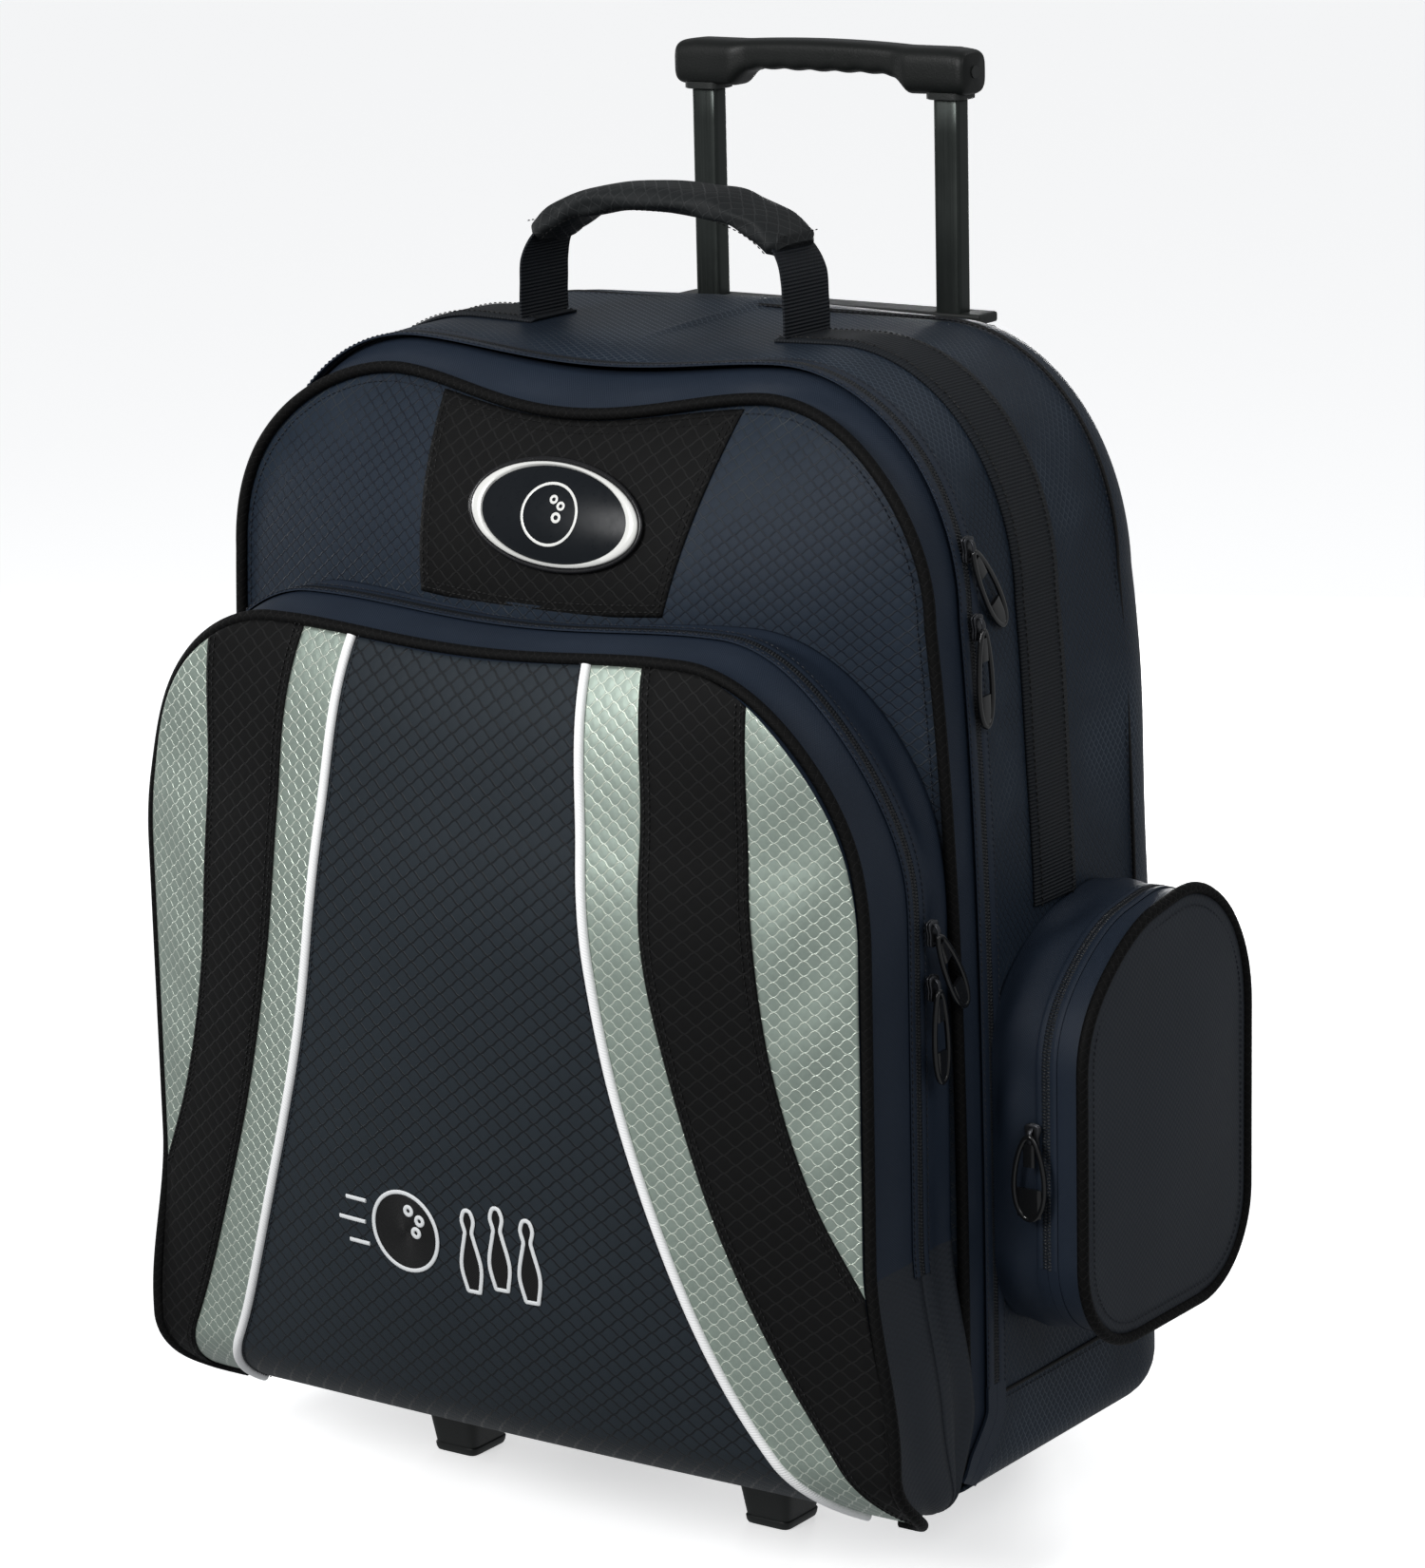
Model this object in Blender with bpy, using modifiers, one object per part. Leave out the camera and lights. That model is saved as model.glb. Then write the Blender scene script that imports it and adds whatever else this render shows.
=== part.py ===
"""Wheeled two-ball bowling bag, modelled in metres with +Z up and its face towards -Y.

The bag's own frame has x = 0 on its plane of symmetry, y = 0 at the front edge of the main
compartment and z = 0 on the floor. One empty carries the whole bag, so that the finished part
stands on the world origin. Sheets of fabric are thin closed shells, lofted from rings.
"""

import math

import bmesh
import bpy
import numpy as np
from mathutils import Matrix, Vector

# ---- driving dimensions ------------------------------------------------------------------
CENTRE_X = 0.02512          # middle of the whole bag, side pocket included
BADGE_X = 0.0108            # middle of the badge, a little to the right on the flap
BADGE_Z = 0.5405
CENTRE_Y = 0.05675          # middle of the whole bag, front pocket included
BASE_Z = 0.039              # underside of the bag above the floor
HALF_WIDTH = 0.233          # half width of the main compartment at the bottom
SIDE_TAPER = 0.0115         # how much narrower each side is where the shoulder begins
SHOULDER_Z = 0.500          # height where the shoulder begins
SHOULDER_R = 0.105          # radius of the shoulder
FRONT_TOP_Z = 0.605         # height of the front edge of the top
TOP_RISE = 0.017            # how much the top climbs behind that edge
BODY_DEPTH = 0.226          # front edge to back wall
REAR_START = 0.166          # where the sides begin to turn into the back wall
WALL = 0.005                # padded wall of the main compartment
SHEET = 0.0035              # single-layer fabric panel
PIPING_R = 0.003
ZIP_Y = 0.0165              # main zip line behind the front edge
HINGE_Y = -0.0085           # front lip of the base, on which the main flap turns
LIP_Z = 0.0443
POCKET_HALF = 0.229         # half width of the front pocket
POCKET_TOP = 0.4875
FLAP_BULGE = 0.047
FACE_BULGE = 0.047
SIDE_Y = 0.100              # middle of the side pocket
SIDE_HALF = 0.082
SIDE_LOW = 0.122
SIDE_HIGH = 0.344
SIDE_ZIP_X = 0.266
SIDE_EDGE_X = 0.2885
STRAP_Y = (0.063, 0.105)    # webbing edges
STRAP_END_X = 0.088
PIVOT_Y = 0.084             # carry handle
PIVOT_Z = 0.6455
ARCH_HALF = 0.084
ARCH_RISE = 0.0445
TUBE_X = 0.079              # trolley tubes
TUBE_Y = 0.2346
TUBE_TOP = 0.7317
WHEEL_X = 0.104
WHEEL_Y = 0.212
WHEEL_R = 0.034
SIDES = ((-1, "left"), (1, "right"))

NAVY = (0.012, 0.020, 0.040)
CHARCOAL = (0.020, 0.024, 0.034)
BLACK = (0.008, 0.008, 0.009)
PLASTIC = (0.013, 0.014, 0.015)


# ---- scene and object helpers ------------------------------------------------------------
def clear_scene():
    for obj in list(bpy.data.objects):
        bpy.data.objects.remove(obj, do_unlink=True)


def new_collection(name):
    collection = bpy.data.collections.new(name)
    bpy.context.scene.collection.children.link(collection)
    return collection


def finish_of(name, colour, roughness, metallic=0.0):
    material = bpy.data.materials.new(name)
    material.use_nodes = True
    shader = material.node_tree.nodes["Principled BSDF"]
    shader.inputs["Base Color"].default_value = (*colour, 1.0)
    shader.inputs["Roughness"].default_value = roughness
    shader.inputs["Metallic"].default_value = metallic
    return material


def ease(value):
    """Zero below 0, one above 1, smooth between."""
    t = np.clip(value, 0.0, 1.0)
    return t * t * (3.0 - 2.0 * t)


class Maker:
    """Puts finished meshes in the bag's collection, on the bag's empty."""

    def __init__(self):
        self.parts = new_collection("bowling_ball_bag")
        self.cutters = new_collection("cutters")
        self.frame = bpy.data.objects.new("bag_frame", None)
        self.frame.location = (-CENTRE_X, -CENTRE_Y, 0.0)
        self.parts.objects.link(self.frame)

    def place(self, name, data, finish, origin=(0.0, 0.0, 0.0)):
        """Link a mesh or curve given in bag coordinates, with its own origin at a chosen point."""
        obj = bpy.data.objects.new(name, data)
        if obj.type == "MESH":
            data.transform(_shift(-Vector(origin)))
        obj.location = origin
        obj.parent = self.frame
        data.materials.append(finish_of(name, *finish))
        self.parts.objects.link(obj)
        return obj

    def cutter(self, name, data):
        obj = bpy.data.objects.new(name, data)
        obj.parent = self.frame
        obj.hide_render = True
        obj.display_type = "WIRE"
        self.cutters.objects.link(obj)
        return obj

    def cut(self, obj, cutter):
        boolean = obj.modifiers.new("cut_" + cutter.name, "BOOLEAN")
        boolean.operation = "DIFFERENCE"
        boolean.solver = "EXACT"
        boolean.object = cutter


def _shift(offset):
    return Matrix.Translation(offset)


def loft(rings, start=None, end=None, wrap=False, smooth=True):
    """Skin rings of equal length. start and end close the ends: a point, or 'flat'."""
    mesh = bpy.data.meshes.new("loft")
    shape = bmesh.new()
    rows = [[shape.verts.new(point) for point in ring] for ring in rings]
    count = len(rows[0])
    pairs = list(zip(rows, rows[1:]))
    if wrap:
        pairs.append((rows[-1], rows[0]))
    for low, high in pairs:
        for i in range(count):
            j = (i + 1) % count
            shape.faces.new((low[i], low[j], high[j], high[i]))
    for row, cap in ((rows[0], start), (rows[-1], end)):
        if cap is None:
            continue
        if isinstance(cap, str):
            shape.faces.new(row)
            continue
        pole = shape.verts.new(cap)
        for i in range(count):
            shape.faces.new((row[i], row[(i + 1) % count], pole))
    bmesh.ops.recalc_face_normals(shape, faces=shape.faces)
    bmesh.ops.triangulate(shape, faces=shape.faces)
    shape.to_mesh(mesh)
    shape.free()
    if smooth:
        mesh.shade_smooth()
        mesh.set_sharp_from_angle(angle=math.radians(40))
    return mesh


def box_mesh(low, high, taper=1.0, bevel=0.0, segments=2):
    """Box from corner to corner. taper scales its underside; bevel rounds its edges."""
    mesh = bpy.data.meshes.new("box")
    shape = bmesh.new()
    bmesh.ops.create_cube(shape, size=1.0)
    low = Vector(low)
    high = Vector(high)
    size = high - low
    for vert in shape.verts:
        scale = taper if vert.co.z < 0.0 else 1.0
        local = Vector((vert.co.x * scale, vert.co.y * scale, vert.co.z))
        vert.co = (low + high) / 2.0 + Vector(a * b for a, b in zip(local, size))
    if bevel:
        bmesh.ops.bevel(shape, geom=shape.edges[:], offset=bevel, segments=segments,
                        profile=0.5, affect="EDGES")
    shape.to_mesh(mesh)
    shape.free()
    mesh.shade_smooth()
    mesh.set_sharp_from_angle(angle=math.radians(35))
    return mesh


def rod_mesh(radius, start, end, segments=20):
    """Cylinder along x from start to end, both points with equal y and z."""
    mesh = bpy.data.meshes.new("rod")
    shape = bmesh.new()
    bmesh.ops.create_cone(shape, cap_ends=True, segments=segments, radius1=radius,
                          radius2=radius, depth=abs(end[0] - start[0]))
    for vert in shape.verts:
        middle = (start[0] + end[0]) / 2.0
        vert.co = Vector((middle + vert.co.z, start[1] + vert.co.y, start[2] - vert.co.x))
    shape.to_mesh(mesh)
    shape.free()
    mesh.shade_smooth()
    mesh.set_sharp_from_angle(angle=math.radians(40))
    return mesh


def frame_tube(outer, inner, length, centre_x, low_z):
    """Upright rectangular tube: a flat outline with a hole, extruded along z."""
    curve = bpy.data.curves.new("tube", "CURVE")
    curve.dimensions = "2D"
    curve.fill_mode = "BOTH"
    curve.extrude = length / 2.0
    for width, depth in (outer, inner):
        spline = curve.splines.new("POLY")
        spline.points.add(3)
        spline.use_cyclic_u = True
        corners = ((-1, -1), (1, -1), (1, 1), (-1, 1))
        for point, (sx, sy) in zip(spline.points, corners):
            point.co = (sx * width / 2.0, sy * depth / 2.0, 0.0, 1.0)
    return curve, (centre_x, TUBE_Y, low_z + length / 2.0)


def tube_curve(points, radius, cyclic):
    """Round cord through the points, as a bevelled curve with filled caps."""
    curve = bpy.data.curves.new("cord", "CURVE")
    curve.dimensions = "3D"
    curve.bevel_depth = radius
    curve.bevel_resolution = 1
    curve.use_fill_caps = not cyclic
    spline = curve.splines.new("POLY")
    spline.points.add(len(points) - 1)
    spline.use_cyclic_u = cyclic
    for point, place in zip(spline.points, points):
        point.co = (*place, 1.0)
    return curve


# ---- outlines ----------------------------------------------------------------------------
def outline(side, low, high, low_r, top_rx, top_rz, shrink=0.0):
    """Closed front-view outline: flat bottom, tight lower corners, big upper corners.

    side is a function of height that gives the half width. shrink moves it all inwards.
    Returns an array of (x, z), once round from the middle of the bottom.
    """
    low = low + shrink
    high = high - shrink
    low_r = low_r - min(shrink, low_r * 0.5)
    top_rx = top_rx - shrink
    top_rz = top_rz - shrink
    z_low = low + low_r
    z_top = high - top_rz
    x_low = float(side(z_low)) - shrink
    x_top = float(side(z_top)) - shrink
    corner = np.radians(np.linspace(0.0, 90.0, 5))
    shoulder = np.radians(np.linspace(0.0, 90.0, 8))
    heights = np.linspace(z_low, z_top, 8)[1:-1]
    x = np.concatenate([
        np.linspace(0.0, x_low - low_r, 5)[:-1],
        x_low - low_r + low_r * np.sin(corner),
        side(heights) - shrink,
        x_top - top_rx + top_rx * np.cos(shoulder),
        np.linspace(x_top - top_rx, 0.0, 6)[1:]])
    z = np.concatenate([
        np.full(4, low),
        z_low - low_r * np.cos(corner),
        heights,
        z_top + top_rz * np.sin(shoulder),
        np.full(5, high)])
    x = np.concatenate([x, -x[-2:0:-1]])
    z = np.concatenate([z, z[-2:0:-1]])
    return np.stack([x, z], axis=1)


def body_side(z):
    return HALF_WIDTH - SIDE_TAPER * (np.clip(z, 0.0, SHOULDER_Z) / SHOULDER_Z) ** 4


def pocket_side(z):
    return POCKET_HALF + 0.013 * ease((0.19 - np.asarray(z)) / 0.10)


def sag_top(points, sag, reach, from_z):
    """Let the top edge of an outline hang a little in its middle."""
    x, z = points[:, 0], points[:, 1]
    drop = sag * np.clip(1.0 - (x / reach) ** 2, 0.0, 1.0) ** 2
    out = points.copy()
    out[:, 1] = z - np.where(z > from_z, drop, 0.0)
    return out


def body_outline(y, shrink=0.0, low=BASE_Z):
    """Outline of the main compartment at depth y, before its rear edges turn in."""
    high = FRONT_TOP_Z + TOP_RISE * (1.0 - math.exp(-max(y, 0.0) / 0.012))
    radius = SHOULDER_R + high - FRONT_TOP_Z
    points = outline(body_side, low, high, 0.020, SHOULDER_R, radius, shrink)
    sag = 0.014 * math.exp(-max(y, 0.0) / 0.035)
    return sag_top(points, sag, 0.12, 0.55)


def body_ring(y, turn=0.0, shrink=0.0):
    """Ring of the shell. turn runs from 0 on the sides to 90 degrees on the back wall."""
    points = body_outline(y, shrink)
    k = 1.0 - math.cos(turn)
    x, z = points[:, 0], points[:, 1]
    share = (z - BASE_Z) / (FRONT_TOP_Z - BASE_Z)
    side_turn = 0.055 + 0.030 * share
    top_turn = 0.012 + 0.050 * (np.abs(x) / 0.22) ** 2
    x = x * (1.0 - k * side_turn / HALF_WIDTH)
    z = z - k * top_turn * share + k * 0.030 * (1.0 - share)
    depth = REAR_START + (BODY_DEPTH - REAR_START - shrink) * math.sin(turn) if turn else y
    return np.stack([x, np.full_like(x, depth), z], axis=1)


def zip_line(z):
    """Depth of the main zip; at the bottom it runs forward to the hinge lip."""
    return HINGE_Y - 0.001 + (ZIP_Y - HINGE_Y + 0.001) * ease((z - 0.046) / 0.040)


def flap_edge(z):
    """Depth of the front edge of the flap; it steps forward of the hinge lip at the bottom."""
    return -0.016 * (1.0 - ease((z - 0.046) / 0.050))


def flap_surface(x, z):
    """Depth of the flap's outer face, which bellies forward below its top edge."""
    across = np.clip(1.0 - (x / 0.236) ** 2, 0.0, 1.0) ** 0.7
    down = 1.0 - (1.0 - np.clip((0.603 - z) / 0.113, 0.0, 1.0)) ** 2
    up = ease((z - 0.045) / 0.080)
    return flap_edge(z) - FLAP_BULGE * across * down * up


def pocket_outline(shrink=0.0, lift=0.0):
    points = outline(pocket_side, BASE_Z, POCKET_TOP + lift, 0.020, 0.100, 0.135 + lift, shrink)
    return sag_top(points, 0.006, 0.12, 0.45)


def pocket_zip_line(z):
    return -0.041 - 0.019 * ease((z - 0.37) / 0.11) + 0.011 * ease((0.10 - z) / 0.06)


def pocket_edge(z):
    """Depth of the piped edge of the front pocket; its lower end rolls under the bag."""
    roll = np.clip((0.084 - z) / 0.045, 0.0, 1.0) ** 2
    return -0.087 - 0.011 * ease((z - 0.39) / 0.09) + 0.045 * roll


def pocket_surface(x, z):
    """Depth of the front pocket's face."""
    across = np.clip(1.0 - (x / 0.235) ** 2, 0.0, 1.0)
    top = 1.0 - np.clip((z - 0.33) / 0.157, 0.0, 1.0) ** 2
    bottom = 1.0 - np.clip((0.25 - z) / 0.211, 0.0, 1.0) ** 3
    return pocket_edge(z) - FACE_BULGE * across * top * bottom


def side_outline(shrink=0.0):
    """Outline of the side pocket as (y, z)."""
    points = outline(lambda z: np.full_like(np.asarray(z, float), SIDE_HALF),
                     SIDE_LOW, SIDE_HIGH, 0.048, 0.070, 0.075, shrink)
    return points + np.array([SIDE_Y, 0.0])


def side_wall_x(y, z):
    """Outer face of the right wall."""
    turn = np.arcsin(np.clip((y - REAR_START) / (BODY_DEPTH - REAR_START), 0.0, 1.0))
    share = (z - BASE_Z) / (FRONT_TOP_Z - BASE_Z)
    k = 1.0 - np.cos(turn)
    return body_side(z) * (1.0 - k * (0.055 + 0.030 * share) / HALF_WIDTH)


def ring_from(points, depth):
    """(x, z) outline plus a depth for each point."""
    return np.stack([points[:, 0], depth, points[:, 1]], axis=1)


def scaled(points, centre_z, scale):
    out = points * scale
    out[:, 1] += centre_z * (1.0 - scale)
    return out


# ---- main compartment --------------------------------------------------------------------
def make_shell(maker):
    """Padded walls, top, back and base of the main compartment, open at the front."""
    turns = np.radians([18.0, 38.0, 58.0, 76.0, 90.0])
    depths = (0.040, STRAP_Y[0], STRAP_Y[1], 0.138, REAR_START)
    outer = []
    inner = []
    for rings, shrink in ((outer, 0.0), (inner, WALL)):
        front = body_outline(0.018, shrink)
        rings.append(ring_from(front, zip_line(front[:, 1] + 0.012) + 0.001))
        rings += [body_ring(y, 0.0, shrink) for y in depths]
        rings += [body_ring(REAR_START, turn, shrink) for turn in turns]
    back = Vector((0.0, BODY_DEPTH, 0.33))
    back_inner = Vector((0.0, BODY_DEPTH - WALL, 0.33))
    for rings, pole in ((outer, back), (inner, back_inner)):
        last = rings[-1]
        rings.append(np.array(pole) + (last - np.array(pole)) * 0.55)
    rings = outer[::-1] + inner
    shell = maker.place("main_shell", loft(rings, start=back, end=back_inner),
                        (NAVY, 0.7))
    for sign, side in SIDES:
        x = sign * WHEEL_X
        cutter = maker.cutter("wheel_well_" + side,
                              box_mesh((x - 0.0190, 0.1705, -0.010), (x + 0.0190, 0.270, 0.0760)))
        maker.cut(shell, cutter)


def make_base(maker):
    """Stiff base plate, foam ball cups and the divider that stands between the balls."""
    maker.place("base_plate", box_mesh((-0.206, 0.004, 0.0446), (0.206, 0.164, 0.0474), bevel=0.0009),
                ((0.03, 0.03, 0.03), 0.6))
    for sign, side in SIDES:
        near, far = sorted((sign * 0.0060, sign * 0.2050))
        cup = maker.place("ball_cup_" + side,
                          box_mesh((near, 0.008, 0.0478), (far, 0.164, 0.098), bevel=0.006),
                          ((0.05, 0.05, 0.055), 0.95))
        dish = bpy.data.meshes.new("dish")
        shape = bmesh.new()
        bmesh.ops.create_uvsphere(shape, u_segments=24, v_segments=14, radius=0.110)
        bmesh.ops.translate(shape, verts=shape.verts, vec=(sign * 0.112, 0.0950, 0.1640))
        shape.to_mesh(dish)
        shape.free()
        maker.cut(cup, maker.cutter("ball_dish_" + side, dish))
    maker.place("ball_divider", box_mesh((-0.0045, 0.010, 0.0478), (0.0045, 0.162, 0.265), bevel=0.002),
                ((0.05, 0.05, 0.055), 0.95))
    maker.place("back_board", box_mesh((-0.130, 0.2174, 0.095), (0.130, 0.2202, 0.520), bevel=0.0008),
                ((0.03, 0.03, 0.03), 0.6))


def make_feet(maker):
    for sign, side in SIDES:
        x = sign * WHEEL_X
        mesh = box_mesh((x - 0.017, -0.008, 0.0), (x + 0.017, 0.030, 0.0387), taper=0.78, bevel=0.002)
        maker.place("front_foot_" + side, mesh, (PLASTIC, 0.5))


def make_wheels(maker):
    """Housing scoops, axles and in-line wheels at the lower rear corners."""
    for sign, side in SIDES:
        x = sign * WHEEL_X
        centre = (x, WHEEL_Y, WHEEL_R)
        housing = maker.place("wheel_housing_" + side,
                              box_mesh((x - 0.0186, 0.1710, 0.020), (x + 0.0186, 0.2470, 0.0756), bevel=0.0016),
                              (PLASTIC, 0.45))
        well = box_mesh((x - 0.0145, 0.1745, -0.010), (x + 0.0145, 0.290, 0.0716))
        maker.cut(housing, maker.cutter("housing_well_" + side, well))
        bore = rod_mesh(0.0043, (x - 0.03, WHEEL_Y, WHEEL_R), (x + 0.03, WHEEL_Y, WHEEL_R))
        maker.cut(housing, maker.cutter("axle_bore_" + side, bore))
        maker.place("axle_" + side, rod_mesh(0.0039, (x - 0.0184, WHEEL_Y, WHEEL_R),
                                             (x + 0.0184, WHEEL_Y, WHEEL_R)),
                    ((0.55, 0.55, 0.56), 0.3, 1.0))
        tyre = ((0.0243, 0.0100), (0.0290, 0.0110), (0.0325, 0.0085), (0.0340, 0.0035),
                (0.0340, -0.0035), (0.0325, -0.0085), (0.0290, -0.0110), (0.0243, -0.0100))
        hub = ((0.0093, 0.0105), (0.0125, 0.0105), (0.0135, 0.0060), (0.0215, 0.0060),
               (0.0240, 0.0098), (0.0240, -0.0098), (0.0215, -0.0060), (0.0135, -0.0060),
               (0.0125, -0.0105), (0.0093, -0.0105))
        bearing = ((0.0042, 0.0100), (0.0090, 0.0100), (0.0090, -0.0100), (0.0042, -0.0100))
        make_turned(maker, "wheel_tyre_" + side, tyre, centre, ((0.02, 0.02, 0.02), 0.6))
        make_turned(maker, "wheel_hub_" + side, hub, centre, ((0.35, 0.35, 0.36), 0.5))
        make_turned(maker, "wheel_bearing_" + side, bearing, centre, ((0.5, 0.5, 0.5), 0.3, 1.0))


def make_turned(maker, name, profile, centre, finish):
    """Closed profile of (radius, offset along x), turned about the x axis through centre."""
    mesh = bpy.data.meshes.new(name)
    shape = bmesh.new()
    verts = [shape.verts.new((radius, 0.0, offset)) for radius, offset in profile]
    for i, vert in enumerate(verts):
        shape.edges.new((vert, verts[(i + 1) % len(verts)]))
    shape.to_mesh(mesh)
    shape.free()
    obj = maker.place(name, mesh, finish)
    obj.location = centre
    obj.rotation_euler = (0.0, math.radians(90.0), 0.0)
    screw = obj.modifiers.new("turn", "SCREW")
    screw.axis = "Z"
    screw.steps = 24
    screw.render_steps = 24
    screw.use_merge_vertices = True
    screw.merge_threshold = 0.00005
    screw.use_smooth_shade = True


def make_straps(maker):
    """Webbing sewn over the sides and shoulders up to the carry handle."""
    for sign, side in SIDES:
        start_z = 0.352 if side == "right" else 0.062
        rows = []
        for y in STRAP_Y:
            ring = body_ring(y)[:, [0, 2]]
            half = ring[:len(ring) // 2 + 1]
            half = half[(half[:, 0] > 0.0)]
            tangent = np.gradient(half, axis=0)
            normal = np.stack([tangent[:, 1], -tangent[:, 0]], axis=1)
            normal /= np.linalg.norm(normal, axis=1)[:, None]
            keep = (half[:, 1] > start_z) & ((half[:, 0] > STRAP_END_X) | (half[:, 1] < 0.5))
            rows.append((y, half[keep], normal[keep]))
        rings = []
        for i in range(len(rows[0][1])):
            ring = []
            for (y, path, normal), offset in ((rows[0], 0.0006), (rows[1], 0.0006),
                                              (rows[1], 0.0026), (rows[0], 0.0026)):
                place = path[i] + normal[i] * offset
                ring.append((sign * place[0], y, place[1]))
            rings.append(ring)
        maker.place("side_strap_" + side, loft(rings, "flat", "flat", smooth=False),
                    (BLACK, 0.6))


# ---- trolley -----------------------------------------------------------------------------
def make_trolley_guide(maker):
    """Fixed outer tubes, their foot bracket, the top collar and the padded cover behind."""
    for sign, side in SIDES:
        curve, place = frame_tube((0.020, 0.0154), (0.0166, 0.0126), 0.5175, sign * TUBE_X, 0.0905)
        maker.place("outer_tube_" + side, curve, ((0.30, 0.30, 0.31), 0.35, 1.0), place)
    maker.place("tube_foot_bracket", box_mesh((-0.100, 0.2272, 0.0778), (0.100, 0.2430, 0.0901), bevel=0.0015),
                (PLASTIC, 0.5))
    cover = maker.place("trolley_cover", box_mesh((-0.112, 0.2264, 0.0770), (0.112, 0.2475, 0.6088), bevel=0.002),
                        (NAVY, 0.7))
    maker.cut(cover, maker.cutter("cover_channel", box_mesh((-0.1085, 0.200, 0.050), (0.1085, 0.2443, 0.650))))
    collar = maker.place("tube_collar", box_mesh((-0.100, 0.2270, 0.6092), (0.100, 0.2470, 0.6150), bevel=0.0015),
                         (PLASTIC, 0.45))
    for sign, side in SIDES:
        x = sign * TUBE_X
        hole = box_mesh((x - 0.0083, TUBE_Y - 0.0063, 0.60), (x + 0.0083, TUBE_Y + 0.0063, 0.63))
        maker.cut(collar, maker.cutter("collar_hole_" + side, hole))


def make_trolley_handle(maker):
    """Sliding inner tubes with their lock plugs, and the moulded grip."""
    for sign, side in SIDES:
        x = sign * TUBE_X
        curve, place = frame_tube((0.016, 0.012), (0.0136, 0.0096), TUBE_TOP - 0.197, x, 0.197)
        maker.place("inner_tube_" + side, curve, ((0.03, 0.035, 0.033), 0.35, 0.6), place)
        plug = box_mesh((x - 0.0078, TUBE_Y - 0.0058, 0.1780), (x + 0.0078, TUBE_Y + 0.0058, 0.1967), bevel=0.001)
        maker.place("lock_plug_" + side, plug, (PLASTIC, 0.5))
        near, far = sorted((sign * 0.0535, sign * 0.0935))
        block = box_mesh((near, TUBE_Y - 0.0125, 0.7320), (far, TUBE_Y + 0.0125, 0.7575), bevel=0.004)
        maker.place("grip_block_" + side, block, (PLASTIC, 0.5))
        maker.place("grip_screw_" + side, rod_mesh(0.0035, (sign * 0.0938, TUBE_Y, 0.7445),
                                                   (sign * 0.0948, TUBE_Y, 0.7445), 12),
                    ((0.15, 0.15, 0.15), 0.4, 1.0))
    maker.place("grip_bar", box_mesh((-0.0532, TUBE_Y - 0.0105, 0.7400), (0.0532, TUBE_Y + 0.0105, 0.7590), bevel=0.005),
                (PLASTIC, 0.5))


# ---- carry handle ------------------------------------------------------------------------
def arch_point(angle):
    """Superellipse arch of the carry handle, as (x, z)."""
    power = 2.0 / 2.4
    x = ARCH_HALF * math.copysign(abs(math.cos(angle)) ** power, math.cos(angle))
    return x, PIVOT_Z + ARCH_RISE * abs(math.sin(angle)) ** power


def arch_frame(angle):
    """Point and outward unit normal of the arch."""
    here = np.array(arch_point(angle))
    ahead = np.array(arch_point(angle + 0.01))
    tangent = (ahead - here) / np.linalg.norm(ahead - here)
    return here, np.array([tangent[1], -tangent[0]])


def make_carry_handle(maker):
    """Two webbing ends, which swing on the anchors sewn to the top, and a wrapped grip."""
    origin = (0.0, PIVOT_Y, PIVOT_Z)
    half = (STRAP_Y[1] - STRAP_Y[0]) / 2.0
    thick = 0.0013
    for sign, side in SIDES:
        rings = []
        for z in (0.6247, 0.6285, 0.6340, 0.6400):
            width = math.sqrt(half ** 2 - (PIVOT_Z - z) ** 2)
            x = sign * ARCH_HALF
            rings.append([(x - thick, PIVOT_Y - width, z), (x + thick, PIVOT_Y - width, z),
                          (x + thick, PIVOT_Y + width, z), (x - thick, PIVOT_Y + width, z)])
        for angle in np.radians(np.linspace(2.0, 24.0, 5)):
            (x, z), (nx, nz) = arch_frame(angle)
            rings.append([(sign * (x + nx * t), PIVOT_Y + w, z + nz * t)
                          for t, w in ((-thick, -half), (thick, -half), (thick, half), (-thick, half))])
        if sign < 0:
            rings[:4] = [[r[1], r[0], r[3], r[2]] for r in rings[:4]]
        maker.place("handle_webbing_" + side, loft(rings, "flat", "flat", smooth=False),
                    (BLACK, 0.6), origin)
    rings = []
    section = np.radians(np.arange(0.0, 360.0, 30.0))
    for angle in np.radians(np.linspace(26.5, 153.5, 13)):
        (x, z), (nx, nz) = arch_frame(angle)
        across = 0.0195 * np.sign(np.cos(section)) * np.abs(np.cos(section)) ** 0.6
        out = 0.0062 * np.sign(np.sin(section)) * np.abs(np.sin(section)) ** 0.8
        rings.append([(x + nx * o, PIVOT_Y + a, z + nz * o) for a, o in zip(across, out)])
    maker.place("handle_grip", loft(rings, "flat", "flat"), (BLACK, 0.7), origin)


# ---- main flap ---------------------------------------------------------------------------
def cup(outer_rings, inner_rings, outer_pole, inner_pole):
    """Thin-walled cup: from the inner pole out to the rim, over it, and back to the outer pole."""
    return loft(inner_rings[::-1] + outer_rings, start=inner_pole, end=outer_pole)


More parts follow.
